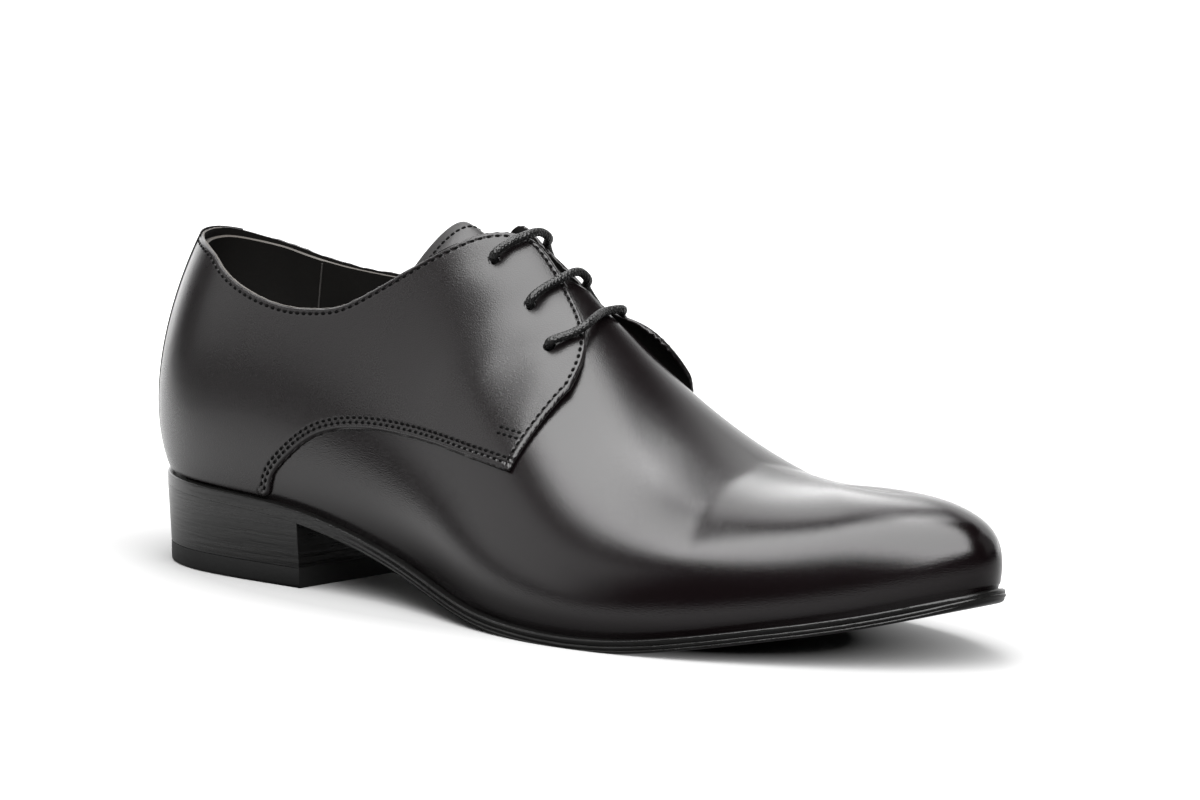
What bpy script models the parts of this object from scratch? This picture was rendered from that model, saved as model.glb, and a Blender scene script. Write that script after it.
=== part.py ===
"""A plain black derby shoe for the right foot: one hollow upper on a thin sole and a low stacked heel.

The toe points along +X, the outer (lateral) side of the foot is -Y, and the shoe stands on Z = 0. All sizes below
are millimetres, measured from the back of the sole. MM turns them into Blender's metres when a mesh is made.
"""

import math

import bmesh
import bpy
import numpy as np

MM = 0.001
SHARP_ANGLE = math.radians(40)

# Driving sizes
SOLE_LENGTH = 297.0
HEEL_LENGTH = 75.0
TOP_PIECE = 5.7
SOLE_EDGE = 4.0
WELT_EDGE = 1.6
WELT_BAND = 10.0
GAP = 0.3
WALL = 1.7
QUARTER_STEP = 1.2
QUARTER_BEDDED = 0.85
STRIP_STEP = 0.45
TONGUE_THICK = 1.5
INSOLE_THICK = 2.0
EYELET_RADIUS = 2.2
LACE_RADIUS = 1.45
ANKLE_X = 52.0
TOE_TOP_X = 262.0
THROAT_STATIONS = (82.0, 142.0)
FIN_GRID = 1e5

# Sole outline and bottom line: station, lateral half width, medial half width
OUTLINE = (
    (0, 0, 0),
    (4.5, 14.5, 14.5),
    (15, 24.5, 25),
    (32, 31, 31),
    (60, 33, 29.5),
    (90, 33.5, 25.5),
    (120, 37, 26),
    (150, 46, 33),
    (180, 52, 42),
    (205, 51, 45),
    (230, 45, 42.5),
    (255, 34.5, 36),
    (275, 23, 27.5),
    (290, 10.5, 16.5),
    (297, -3, 3),
)

# Feather line, where the upper meets the sole: station, height, inset from the sole's edge
FEATHER = (
    (0, 26.5, 2.4),
    (40, 25.0, 2.5),
    (75, 22.4, 2.6),
    (105, 16.3, 2.4),
    (133, 9.6, 2.4),
    (155, 5.5, 2.4),
    (178, 3.7, 2.6),
    (207, 3.7, 2.8),
    (230, 6.5, 2.8),
    (250, 10.0, 2.8),
    (275, 15.0, 2.4),
    (297, 21.2, 1.5),
)

# Top line of the foot's form: x, y, height
RIDGE = (
    (50, 0, 132),
    (80, 0, 128),
    (110, 1.5, 116),
    (140, 4, 96),
    (165, 6, 75.2),
    (190, 7, 57),
    (215, 6.5, 45.3),
    (240, 5.5, 42.3),
    (262, 4.5, 43.5),
    (285, 3, 43),
)

# Sections: station, lateral lean, medial lean, lateral side, medial side, top fullness
SECTIONS = (
    (0, 25, 25, 0.34, 0.34, 0.50),
    (30, 22, 20, 0.36, 0.36, 0.50),
    (75, 16, 16, 0.42, 0.42, 0.52),
    (120, 14, 26, 0.40, 0.42, 0.50),
    (160, 16, 18, 0.42, 0.44, 0.42),
    (200, 14, 10, 0.52, 0.52, 0.45),
    (235, 10, 8, 0.64, 0.62, 0.58),
    (265, 9, 9, 0.68, 0.66, 0.68),
    (297, 12, 12, 0.67, 0.67, 0.86),
)

# Edge of the vamp and lining at the collar and throat: station, lateral rise, medial rise
OPENING = (
    (0, 0.492, 0.492),
    (15, 0.480, 0.447),
    (31, 0.444, 0.420),
    (45, 0.408, 0.412),
    (57, 0.393, 0.414),
    (67, 0.394, 0.423),
    (78, 0.416, 0.444),
    (85, 0.449, 0.475),
    (92, 0.510, 0.527),
    (99, 0.600, 0.610),
    (106, 0.712, 0.715),
    (112, 0.820, 0.810),
    (118, 0.880, 0.862),
    (126, 0.905, 0.872),
    (133, 0.935, 0.905),
    (140, 1.0, 1.0),
)

# Quarters, from the heel to the front: bottom station, medial bottom station, bottom rise,
# lateral top station, lateral top rise, medial top station, medial top rise
QUARTERS = (
    (0, 0, 0.008, 0, 0.505, 0, 0.505),
    (15, 15, 0.008, 15.8, 0.492, 12, 0.468),
    (30, 30, 0.008, 31, 0.456, 26, 0.438),
    (46, 46, 0.008, 45.5, 0.420, 40, 0.425),
    (61, 61, 0.008, 57.5, 0.405, 53, 0.425),
    (65.5, 65.5, 0.050, 67.4, 0.4065, 66, 0.434),
    (73.2, 73.2, 0.112, 77.8, 0.428, 77, 0.455),
    (82.5, 82.5, 0.172, 85, 0.462, 86, 0.492),
    (93, 93, 0.2185, 92, 0.523, 94, 0.560),
    (105, 105, 0.2575, 99, 0.607, 101, 0.650),
    (117, 118, 0.291, 105.5, 0.716, 107, 0.755),
    (128, 129.5, 0.3205, 111, 0.834, 112.5, 0.845),
    (137, 139.5, 0.3435, 117.5, 0.930, 119, 0.895),
    (144.5, 147.5, 0.362, 125, 0.945, 128, 0.905),
    (150, 154, 0.376, 137, 0.917, 142, 0.893),
    (154.5, 159, 0.3865, 147.7, 0.875, 153.5, 0.872),
    (158, 162.8, 0.394, 156.1, 0.824, 161.5, 0.832),
    (160.2, 165.2, 0.399, 161.5, 0.757, 166.5, 0.765),
    (161.2, 166.4, 0.401, 164.4, 0.676, 168.6, 0.680),
)

# Flaps that stand off the vamp: side, first station, last station, lift under the edge, lift over it
FLAPS = {-1: (138, 158, 2.6, 2.2), 1: (142, 164, 4.4, 4.0)}

# Eyelets: lateral station, lateral rise, medial station, medial rise
EYELETS = (
    (118.5, 0.777, 119, 0.705),
    (136.4, 0.764, 138, 0.695),
    (150.2, 0.719, 151, 0.670),
)
LACE_NAMES = ("lace_bar_top", "lace_bar_middle", "lace_bar_bottom")
LACE_CROWN = (0.3, 0, 0.5)

# Tongue: x, y of its middle, height of its middle, half width, pitch of its sides
TONGUE = (
    (103, -2.2, 103.6, 16, 0.78),
    (110, -1.2, 102.6, 14.2, 0.80),
    (118, 0.4, 99.4, 12.6, 0.82),
    (126, 2.0, 95.4, 11.2, 0.84),
    (135, 3.4, 90.2, 10.5, 0.82),
    (145, 4.4, 83.6, 9.5, 0.74),
    (155, 5.2, 76.4, 9, 0.64),
    (165, 6.0, 69.4, 8.5, 0.54),
    (175, 6.5, 62.4, 8, 0.50),
)
TONGUE_CREST = 3.0
TONGUE_TUCK = 0.45

# Back strip: half width as a turn round the heel, its flare at the collar, its lower rise, and how far it tops the collar
STRIP_HALF, STRIP_FLARE = 0.17, 0.04
STRIP_LOW, STRIP_OVER = 0.015, 0.003

# Under the medial facing the instep falls away like a roof: its pitch, and the stations where it starts and ends
ROOF_PITCH = 1.0
ROOF_START, ROOF_END = (104, 122), (138, 160)


class Curve:
    """A smooth cubic through rows of numbers, running on straight past its ends, or closing on itself."""

    def __init__(self, places, values, closed=False):
        self.t = np.asarray(places, float)
        self.y = np.asarray(values, float)
        self.closed = closed
        count = len(self.t)
        step = np.diff(self.t)
        matrix = np.zeros((count, count))
        right = np.zeros_like(self.y)
        for i in range(1, count - 1):
            before, after = step[i - 1], step[i]
            matrix[i, i - 1 : i + 2] = after, 2 * (before + after), before
            slope_before = (self.y[i] - self.y[i - 1]) / before
            slope_after = (self.y[i + 1] - self.y[i]) / after
            right[i] = 3 * (after * slope_before + before * slope_after)
        if closed:
            before, after = step[-1], step[0]
            matrix[0, 0] = 2 * (before + after)
            matrix[0, 1] = before
            matrix[0, -2] = after
            right[0] = 3 * (after * (self.y[-1] - self.y[-2]) / before + before * (self.y[1] - self.y[0]) / after)
            matrix[-1, 0] = 1
            matrix[-1, -1] = -1
        else:
            matrix[0, :2] = 2, 1
            right[0] = 3 * (self.y[1] - self.y[0]) / step[0]
            matrix[-1, -2:] = 1, 2
            right[-1] = 3 * (self.y[-1] - self.y[-2]) / step[-1]
        self.d = np.linalg.solve(matrix, right)

    def __call__(self, place):
        x = np.asarray(place, float)
        if self.closed:
            x = self.t[0] + (x - self.t[0]) % (self.t[-1] - self.t[0])
        i = np.clip(np.searchsorted(self.t, x, side="right") - 1, 0, len(self.t) - 2)
        width = self.t[i + 1] - self.t[i]
        u = (x - self.t[i]) / width
        held = np.clip(u, 0, 1)
        low, high = (u - held) * (u < 0) * width, (u - held) * (u > 1) * width
        if self.y.ndim > 1:
            width, held, low, high = (k[..., None] for k in (width, held, low, high))
        first, second = self.y[i], self.y[i + 1]
        slope, next_slope = self.d[i], self.d[i + 1]
        left = (1 - held) ** 2
        inside = first * (1 + 2 * held) * left + slope * width * held * left
        inside = inside + second * held**2 * (3 - 2 * held) + next_slope * width * held**2 * (held - 1)
        return inside + slope * low + next_slope * high


def table(rows):
    """A curve over the first column of a table, giving the other columns."""
    rows = np.array(rows, float)
    return Curve(rows[:, 0], rows[:, 1:])


def smooth(low, high, value):
    t = np.clip((value - low) / (high - low), 0, 1)
    return t * t * (3 - 2 * t)


# The sole is walked by an angle: 0 at the heel, then the lateral side, pi at the toe, then the medial side
def angle_of(station):
    return np.arccos(np.clip(1 - 2 * np.asarray(station, float) / SOLE_LENGTH, -1, 1))


def station_of(angle):
    return SOLE_LENGTH / 2 * (1 - np.cos(angle))


def outline_curve():
    rows = np.array(OUTLINE, float)
    turn = angle_of(rows[:, 0])
    places = np.concatenate([turn, 2 * math.pi - turn[-2::-1]])
    return Curve(places, np.concatenate([-rows[:, 1], rows[-2::-1, 2]]), closed=True)


OUTLINE_Y = outline_curve()
FEATHER_LINE = table(FEATHER)
RIDGE_LINE = table(RIDGE)
SECTION_LINE = table(SECTIONS)
TONGUE_LINE = table(TONGUE)


def outline(angle, inset):
    """Points of the sole's outline, moved in by inset."""
    x, y = station_of(angle), OUTLINE_Y(angle)
    small = 1e-4
    tangent_x = station_of(angle + small) - station_of(angle - small)
    tangent_y = OUTLINE_Y(angle + small) - OUTLINE_Y(angle - small)
    size = np.hypot(tangent_x, tangent_y)
    return x - inset * tangent_y / size, y + inset * tangent_x / size


def bare_last(angle, rise):
    """The foot's form: rise 0 on the feather line, 1 on the ridge, along one Bezier per section."""
    station = station_of(angle)
    foot = FEATHER_LINE(station)
    foot_x, foot_y = outline(angle, foot[..., 1])
    foot_z = foot[..., 0]
    ridge_x = ANKLE_X + (TOE_TOP_X - ANKLE_X) * station / SOLE_LENGTH
    ridge = RIDGE_LINE(ridge_x)
    slope = (RIDGE_LINE(ridge_x + 0.01)[..., 1] - RIDGE_LINE(ridge_x - 0.01)[..., 1]) / 0.02
    row = SECTION_LINE(station)
    sway = np.sin(angle)
    medial = 0.5 - 0.5 * sway / np.sqrt(sway**2 + 0.02)
    lean = np.tan(np.radians(row[..., 0] * (1 - medial) + row[..., 1] * medial))
    side = row[..., 2] * (1 - medial) + row[..., 3] * medial
    top = row[..., 4]
    out_x, out_y = foot_x - ridge_x, foot_y - ridge[..., 0]
    reach = np.hypot(out_x, out_y)
    climb = (ridge[..., 1] - foot_z) * side
    p0 = np.stack([foot_x, foot_y, foot_z], -1)
    p1 = p0 + np.stack([out_x / reach * climb * lean, out_y / reach * climb * lean, climb], -1)
    p3 = np.stack([ridge_x, ridge[..., 0], ridge[..., 1]], -1)
    roof = ROOF_PITCH * medial * smooth(*ROOF_START, station) * (1 - smooth(*ROOF_END, station))
    p2 = p3 + np.stack([out_x * top, out_y * top, slope * out_x * top - roof * reach * top], -1)
    t = rise[..., None]
    return p0 * (1 - t) ** 3 + 3 * p1 * t * (1 - t) ** 2 + 3 * p2 * t**2 * (1 - t) + p3 * t**3


def last_normal(angle, rise):
    small = 1e-4
    held = np.clip(rise, 0.001, 0.999)
    along = bare_last(angle + small, held) - bare_last(angle - small, held)
    up = bare_last(angle, held + small) - bare_last(angle, held - small)
    normal = np.cross(along, up)
    return normal / (np.linalg.norm(normal, axis=-1, keepdims=True) + 1e-12)


def last(angle, rise, lift):
    """The foot's form, moved out along its own normal by lift."""
    angle, rise, lift = np.broadcast_arrays(np.asarray(angle, float), np.asarray(rise, float), np.asarray(lift, float))
    return bare_last(angle, rise) + last_normal(angle, rise) * lift[..., None]


def sided(station, side):
    """The angle of a station on the lateral (-1) or medial (1) side."""
    return -side * angle_of(station)


# Mesh makers
def material(name, colour, roughness):
    made = bpy.data.materials.new(name)
    made.use_nodes = True
    shader = made.node_tree.nodes["Principled BSDF"]
    shader.inputs["Base Color"].default_value = (*colour, 1)
    shader.inputs["Roughness"].default_value = roughness
    return made


def solid(name, points, faces, look=None):
    """An object from points in millimetres and faces, welded and facing out."""
    mesh = bpy.data.meshes.new(name)
    mesh.from_pydata([tuple(p) for p in np.asarray(points) * MM], [], faces)
    work = bmesh.new()
    work.from_mesh(mesh)
    bmesh.ops.remove_doubles(work, verts=work.verts, dist=2e-7)
    bmesh.ops.recalc_face_normals(work, faces=work.faces)
    work.to_mesh(mesh)
    work.free()
    obj = bpy.data.objects.new(name, mesh)
    bpy.context.scene.collection.objects.link(obj)
    mesh.shade_smooth()
    mesh.set_sharp_from_angle(angle=SHARP_ANGLE)
    if look:
        mesh.materials.append(look)
    else:
        obj.hide_render = True
        obj.display_type = "WIRE"
    return obj


def plate(name, outer, inner, look=None):
    """A closed sheet between two grids of points, [column, row]."""
    columns, rows = outer.shape[:2]
    points = np.concatenate([outer.reshape(-1, 3), inner.reshape(-1, 3)])
    below = columns * rows
    faces = []
    for i in range(columns - 1):
        for j in range(rows - 1):
            a, b = i * rows + j, (i + 1) * rows + j
            faces.append((a, b, b + 1, a + 1))
            faces.append((below + a, below + a + 1, below + b + 1, below + b))
    rim = [(i * rows, (i + 1) * rows) for i in range(columns - 1)]
    rim += [((columns - 1) * rows + j, (columns - 1) * rows + j + 1) for j in range(rows - 1)]
    rim += [((i + 1) * rows + rows - 1, i * rows + rows - 1) for i in range(columns - 1)]
    rim += [(j + 1, j) for j in range(rows - 1)]
    faces += [(b, a, below + a, below + b) for a, b in rim]
    return solid(name, points, faces, look)


def rings(name, loops, pairs, look, hollow=False):
    """A solid from loops of points, closed by strips across each end, or back onto the first loop."""
    count = len(loops[0])
    points = np.concatenate(loops)
    faces = []
    last_loop = len(loops) if hollow else len(loops) - 1
    for k in range(last_loop):
        near, far = k * count, (k + 1) % len(loops) * count
        for i in range(count):
            j = (i + 1) % count
            faces.append((near + i, near + j, far + j, far + i))
    if not hollow:
        for start in (0, (len(loops) - 1) * count):
            for (a, b), (c, d) in zip(pairs[:-1], pairs[1:]):
                corners = [start + k for k in dict.fromkeys((a, c, d, b))]
                faces.append(corners)
    return solid(name, points, faces, look)


# Upper
def vamp_shell(heel=11, throat=20, toe=17, rows=11):
    """The whole upper's inner wall: a tube of leather, open below and at the collar and throat."""
    first, final = angle_of(THROAT_STATIONS)
    spans = ((0, first, heel), (first, final, throat), (final, math.pi, toe))
    half = np.concatenate([np.linspace(a, b, n, endpoint=False) for a, b, n in spans] + [[math.pi]])
    station = station_of(half)
    cut = np.array(OPENING, float)
    grids = []
    for side in (-1, 1):
        edge = np.interp(station, cut[:, 0], cut[:, 1 if side < 0 else 2])
        smooth_edge = table(cut)(np.minimum(station, cut[-1, 0]))[:, 0 if side < 0 else 1]
        edge = np.where(station < cut[-1, 0], np.minimum(smooth_edge, 0.999), edge)
        rise = edge[:, None] * (np.linspace(0, 1, rows + 1) ** 0.9)[None, :]
        turn = np.broadcast_to((-side * half)[:, None], rise.shape)
        grids.append((turn, rise))
    shells = []
    for lift in (0.0, -WALL):
        pair = [last(turn, rise, lift) for turn, rise in grids]
        closed = grids[0][1][:, -1] >= 1
        middle = (pair[0][closed, -1] + pair[1][closed, -1]) / 2
        pair[0][closed, -1] = middle
        pair[1][closed, -1] = middle
        pair[1][0] = pair[0][0]
        pair[1][-1] = pair[0][-1]
        shells.append(np.concatenate([pair[0], pair[1][-2:0:-1]]))
    count, deep = len(shells[0]), rows + 1
    ridge = np.concatenate([grids[0][1][:, -1] >= 1, (grids[1][1][:, -1] >= 1)[-2:0:-1]])
    below = count * deep
    faces = []
    for i in range(count):
        k = (i + 1) % count
        for j in range(rows):
            a, b = i * deep + j, k * deep + j
            faces.append((a, b, b + 1, a + 1))
            faces.append((below + a, below + a + 1, below + b + 1, below + b))
        a, b = i * deep, k * deep
        faces.append((b, a, below + a, below + b))
        if not (ridge[i] and ridge[k]):
            a, b = a + rows, b + rows
            faces.append((a, b, below + b, below + a))
    return np.concatenate([s.reshape(-1, 3) for s in shells]), faces


def quarter_lift(station, rise, side):
    """How far the quarter's under and outer faces stand off the last, rising where the flap is free."""
    first, final, under, over = FLAPS[side]
    free = smooth(first, final, station) * smooth(0.46, 0.68, rise)
    parted = smooth(0.2, 0.45, free) * (QUARTER_BEDDED + 0.7)
    return -QUARTER_BEDDED + parted + (under - 1.4) * free, QUARTER_STEP + over * free


def quarter_edges():
    """A curve over the quarters' rows: bottom angle, bottom rise, top angle, top rise; negative rows are medial."""
    cut = np.array(QUARTERS, float)
    turn = angle_of(cut[:, [0, 1, 3, 5]])
    lateral = np.stack([turn[:, 0], cut[:, 2], turn[:, 2], cut[:, 4]], -1)
    medial = np.stack([-turn[:, 1], cut[:, 2], -turn[:, 3], cut[:, 6]], -1)
    reach = len(cut) - 1
    return Curve(np.arange(-reach, reach + 1), np.concatenate([medial[:0:-1], lateral])), reach


QUARTER_LINE, REACH = quarter_edges()


def quarter_sheet(per_row=2, rows=9):
    """Both quarters in one strip, from the lateral flap round the heel to the medial flap."""
    place = np.linspace(-REACH, REACH, 2 * REACH * per_row + 1)
    line = QUARTER_LINE(place)
    low_rise = np.maximum(line[:, 1], 0.008)
    across = np.linspace(0, 1, rows + 1)[None, :]
    angle = line[:, :1] * (1 - across) + line[:, 2:3] * across
    rise = low_rise[:, None] * (1 - across) + line[:, 3:4] * across
    side = np.where(place < 0, 1, -1)
    station = station_of(angle)
    lifts = [quarter_lift(station[i], rise[i], side[i]) for i in range(len(place))]
    under = np.array([pair[0] for pair in lifts])
    over = np.array([pair[1] for pair in lifts])
    return last(angle, rise, over), last(angle, rise, under)


def back_strip(columns=6, rows=12):
    """A narrow strip over the back seam, its top following the collar."""
    across = np.linspace(-1, 1, columns + 1)[:, None]
    share = np.linspace(0, 1, rows + 1)[None, :]
    angle = across * (STRIP_HALF + STRIP_FLARE * smooth(0.6, 1, share))
    collar = QUARTER_LINE(np.linspace(-2, 2, 41))
    top = np.interp(angle, collar[:, 2], collar[:, 3]) + STRIP_OVER
    rise = STRIP_LOW + (top - STRIP_LOW) * share
    low = QUARTER_STEP - STRIP_STEP
    return last(angle, rise, QUARTER_STEP + STRIP_STEP), last(angle, rise, low)


def eyelet(row, side):
    """Centre and outward direction of an eyelet on the quarter's outer face."""
    station, rise = (row[0], row[1]) if side < 0 else (row[2], row[3])
    angle = sided(station, side)
    lift = quarter_lift(np.float64(station), np.float64(rise), side)[1]
    return last(angle, rise, lift), last_normal(np.asarray(angle), np.asarray(rise))


def tube(path, radius, sides):
    """Loops of points round a path."""
    ahead = np.gradient(path, axis=0)
    ahead /= np.linalg.norm(ahead, axis=1)[:, None]
    side = np.cross(ahead, (1.0, 0.2, 0.1))
    side /= np.linalg.norm(side, axis=1)[:, None]
    other = np.cross(ahead, side)
    turn = np.linspace(0, 2 * math.pi, sides, endpoint=False)
    return [
        p + radius * (np.cos(turn)[:, None] * s + np.sin(turn)[:, None] * o) for p, s, o in zip(path, side, other)
    ]


def tube_pairs(sides):
    return [(0, 0)] + [(k, sides - k) for k in range(1, sides // 2)] + [(sides // 2, sides // 2)]


def eyelet_cutters():
    points, faces = [], []
    for row in EYELETS:
        for side in (-1, 1):
            centre, out = eyelet(row, side)
            path = np.stack([centre - 9 * out, centre + 6 * out])
            loops = tube(path, EYELET_RADIUS, 16)
            start = len(points)
            points += [p for loop in loops for p in loop]
            faces += [(start + i, start + (i + 1) % 16, start + 16 + (i + 1) % 16, start + 16 + i) for i in range(16)]
            faces += [tuple(range(start, start + 16)), tuple(range(start + 16, start + 32))]
    return points, faces


def without_fins(obj):
    """Applies the Booleans and takes out triangles that lie back to back on the same corners."""
    graph = bpy.context.evaluated_depsgraph_get()
    mesh = bpy.data.meshes.new_from_object(obj.evaluated_get(graph))
    form = bmesh.new()
    form.from_mesh(mesh)
    bmesh.ops.triangulate(form, faces=form.faces[:])
    alike = {}
    for face in form.faces:
        corners = frozenset(tuple(round(c * FIN_GRID) for c in v.co) for v in face.verts)
        alike.setdefault(corners, []).append(face)
    fins = [f for faces in alike.values() if len(faces) > 1 for f in faces]
    bmesh.ops.delete(form, geom=fins, context="FACES")
    form.to_mesh(mesh)
    form.free()
    print("triangles lying back to back, taken out:", len(fins))
    obj.modifiers.clear()
    obj.data = mesh
    return obj


def make_upper(look):
    points, faces = vamp_shell()
    upper = solid("upper", points, faces, look)
    helpers = (
        ("UNION", plate("quarter_form", *quarter_sheet())),
        ("UNION", plate("back_strip_form", *back_strip())),
        ("DIFFERENCE", solid("eyelet_cutters", *eyelet_cutters())),
    )
    for operation, other in helpers:
        cut = upper.modifiers.new(other.name, "BOOLEAN")
        cut.operation = operation
        cut.object = other
        cut.solver = "EXACT"
    return without_fins(upper)


# Tongue
def make_tongue(look, rows=14, columns=10):
    """A roofed sheet under the flaps, its top edge straight across behind them."""
    x = np.linspace(TONGUE[0][0], TONGUE[-1][0], rows + 1)[:, None]
    row = TONGUE_LINE(x[:, 0])[:, None, :]
    across = np.linspace(-1, 1, columns + 1)[None, :]
    y = across * row[..., 2]
    fall = row[..., 3] * (np.sqrt(y**2 + TONGUE_CREST**2) - TONGUE_CREST)
    fall = fall + TONGUE_TUCK * np.maximum(y, 0) * smooth(*ROOF_START, x)
    outer = np.stack([np.broadcast_to(x, y.shape), y + row[..., 0], row[..., 1] - fall], -1)
    normal = np.cross(np.gradient(outer, axis=0), np.gradient(outer, axis=1))
    normal /= np.linalg.norm(normal, axis=-1, keepdims=True)
    return plate("tongue", outer, outer - normal * TONGUE_THICK, look)


# Sole, welt, heel and insole
def whole_ring(columns=40):
    angle = np.linspace(0, 2 * math.pi, 2 * columns, endpoint=False)
    pairs = [(0, 0)] + [(k, 2 * columns - k) for k in range(1, columns)] + [(columns, columns)]
    return angle, pairs


def heel_ring(columns=20):
    edge = float(angle_of(HEEL_LENGTH))
    angle = np.linspace(edge, -edge, 2 * columns + 1)
    pairs = [(columns, columns)] + [(columns - k, columns + k) for k in range(1, columns + 1)]
    return angle, pairs


def loop(angle, inset, drop, floor=None):
    """One loop of the sole: the outline moved in by inset, drop below the feather line."""
    x, y = outline(angle, inset)
    z = FEATHER_LINE(x)[..., 0] - drop
    if floor is not None:
        z = np.maximum(z, floor)
    return np.stack([x, y, z], -1)


def flat_loop(angle, inset, height):
    x, y = outline(angle, inset)
    return np.stack([x, y, np.full_like(x, height)], -1)


def make_sole(leather, rubber, cloth):
    angle, pairs = whole_ring()
    low = GAP + WELT_EDGE
    welt = [
        loop(angle, WELT_BAND, GAP),
        loop(angle, 0.5, GAP),
        loop(angle, 0.0, GAP + 0.4),
        loop(angle, 0.0, low - 0.4),
        loop(angle, 0.5, low),
        loop(angle, WELT_BAND, low),
    ]
    rings("welt", welt, pairs, leather, hollow=True)
    outsole = [
        loop(angle, WELT_BAND + 0.5, GAP),
        loop(angle, WELT_BAND + 0.5, low + GAP),
        loop(angle, 0.7, low + GAP),
        loop(angle, 0.1, low + GAP + 0.4, 0.9),
        loop(angle, 0.1, SOLE_EDGE - 0.4, 0.5),
        loop(angle, 0.8, SOLE_EDGE, 0.0),
    ]
    rings("outsole", outsole, pairs, leather)
    turn, heel_pairs = heel_ring()
    stack = [
        loop(turn, 0.7, SOLE_EDGE + GAP),
        flat_loop(turn, 1.2, TOP_PIECE + GAP),
    ]
    rings("heel_stack", stack, heel_pairs, leather)
    top_piece = [
        flat_loop(turn, 1.2, TOP_PIECE),
        flat_loop(turn, 1.2, 0.5),
        flat_loop(turn, 1.7, 0.0),
    ]
    rings("heel_top_piece", top_piece, heel_pairs, rubber)
    inset = FEATHER_LINE(station_of(angle))[..., 1] + WALL + 0.5
    insole = [
        loop(angle, inset + 0.4, 0.0),
        loop(angle, inset, -0.4),
        loop(angle, inset, 0.4 - INSOLE_THICK),
        loop(angle, inset + 0.4, -INSOLE_THICK),
    ]
    rings("insole", insole, pairs, cloth)


# Laces
def over_facing(row, side, beyond):
    """A point of the lace's middle line where it lies on the quarter, beyond the eyelet towards the throat."""
    station, rise = (row[0], row[1]) if side < 0 else (row[2], row[3])
    rise = rise + beyond
    lift = quarter_lift(np.float64(station), np.float64(rise), side)[1]
    return last(sided(station, side), rise, lift + LACE_RADIUS + 1.0)


def make_laces(look, sides=8, steps=16):
    for name, row in zip(LACE_NAMES, EYELETS):
        (left, left_out), (right, right_out) = eyelet(row, -1), eyelet(row, 1)
        left_edge, right_edge = over_facing(row, -1, 0.14), over_facing(row, 1, 0.19)
        knots = np.stack(
            [
                left - 1.7 * left_out,
                left - 0.6 * left_out,
                left + 1.3 * left_out,
                over_facing(row, -1, 0.06),
                left_edge,
                (left_edge + right_edge) / 2 + np.array(LACE_CROWN),
                right_edge,
                over_facing(row, 1, 0.08),
                right + 1.3 * right_out,
                right - 0.6 * right_out,
                right - 1.7 * right_out,
            ]
        )
        far = np.concatenate([[0], np.cumsum(np.linalg.norm(np.diff(knots, axis=0), axis=1))])
        path = Curve(far, knots)(np.linspace(0, far[-1], steps + 1))
        rings(name, tube(path, LACE_RADIUS, sides), tube_pairs(sides), look)


def centre_on_floor():
    """Moves every mesh so the middle of the shoe's box stands on the origin."""
    bpy.context.view_layer.update()
    graph = bpy.context.evaluated_depsgraph_get()
    shown = [o for o in bpy.context.scene.objects if not o.hide_render]
    corners = []
    for obj in shown:
        mesh = obj.evaluated_get(graph).to_mesh()
        points = np.empty(len(mesh.vertices) * 3, np.float32)
        mesh.vertices.foreach_get("co", points)
        points = points.reshape(-1, 3)
        corners += [points.min(0), points.max(0)]
    low, high = np.min(corners, axis=0), np.max(corners, axis=0)
    shift = ((low[0] + high[0]) / 2, (low[1] + high[1]) / 2, low[2])
    for obj in bpy.context.scene.objects:
        for vertex in obj.data.vertices:
            vertex.co.x -= shift[0]
            vertex.co.y -= shift[1]
            vertex.co.z -= shift[2]
    print("shoe centred by", [round(float(s) / MM, 3) for s in shift], "mm")


def main():
    for obj in list(bpy.data.objects):
        bpy.data.objects.remove(obj, do_unlink=True)
    calf = material("black_calf", (0.012, 0.012, 0.013), 0.3)
    sole_leather = material("sole_leather", (0.02, 0.018, 0.017), 0.5)
    rubber = material("heel_rubber", (0.01, 0.01, 0.01), 0.8)
    lining = material("insole_leather", (0.03, 0.028, 0.027), 0.6)
    waxed = material("waxed_lace", (0.01, 0.01, 0.011), 0.45)
    make_upper(calf)
    make_tongue(calf)
    make_sole(sole_leather, rubber, lining)
    make_laces(waxed)
    centre_on_floor()


main()
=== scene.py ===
# %% [markdown]
# # A black derby shoe, dressed
# The frame holds the shoe's plain solids at their real size. This lesson puts the leather, lining,
# edges, stitches and lace on them. A shoemaker pulls leather over a wooden form, the last, and so does
# this script: one function gives the last's surface, and each piece is a patch of it, so seams and
# stitches lie on the leather by themselves.

# %% Load the frame
import math

import bmesh
import bpy
import numpy as np
from mathutils import Matrix, Vector
from mathutils.kdtree import KDTree


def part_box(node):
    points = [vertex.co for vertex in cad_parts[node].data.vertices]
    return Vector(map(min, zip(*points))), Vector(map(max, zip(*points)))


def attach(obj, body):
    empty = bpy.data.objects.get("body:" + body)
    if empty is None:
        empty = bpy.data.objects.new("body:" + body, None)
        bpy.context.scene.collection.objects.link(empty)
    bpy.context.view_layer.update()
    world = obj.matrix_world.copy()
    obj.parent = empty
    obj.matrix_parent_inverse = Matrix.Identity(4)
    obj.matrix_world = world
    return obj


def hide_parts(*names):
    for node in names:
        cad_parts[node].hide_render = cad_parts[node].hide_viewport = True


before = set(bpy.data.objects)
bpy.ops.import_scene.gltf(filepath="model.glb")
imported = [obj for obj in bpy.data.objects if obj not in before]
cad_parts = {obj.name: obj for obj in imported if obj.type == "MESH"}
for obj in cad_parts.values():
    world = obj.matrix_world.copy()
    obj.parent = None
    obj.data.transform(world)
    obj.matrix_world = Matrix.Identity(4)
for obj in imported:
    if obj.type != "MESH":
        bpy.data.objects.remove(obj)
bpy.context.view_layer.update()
print("solids:", sorted(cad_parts))

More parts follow.
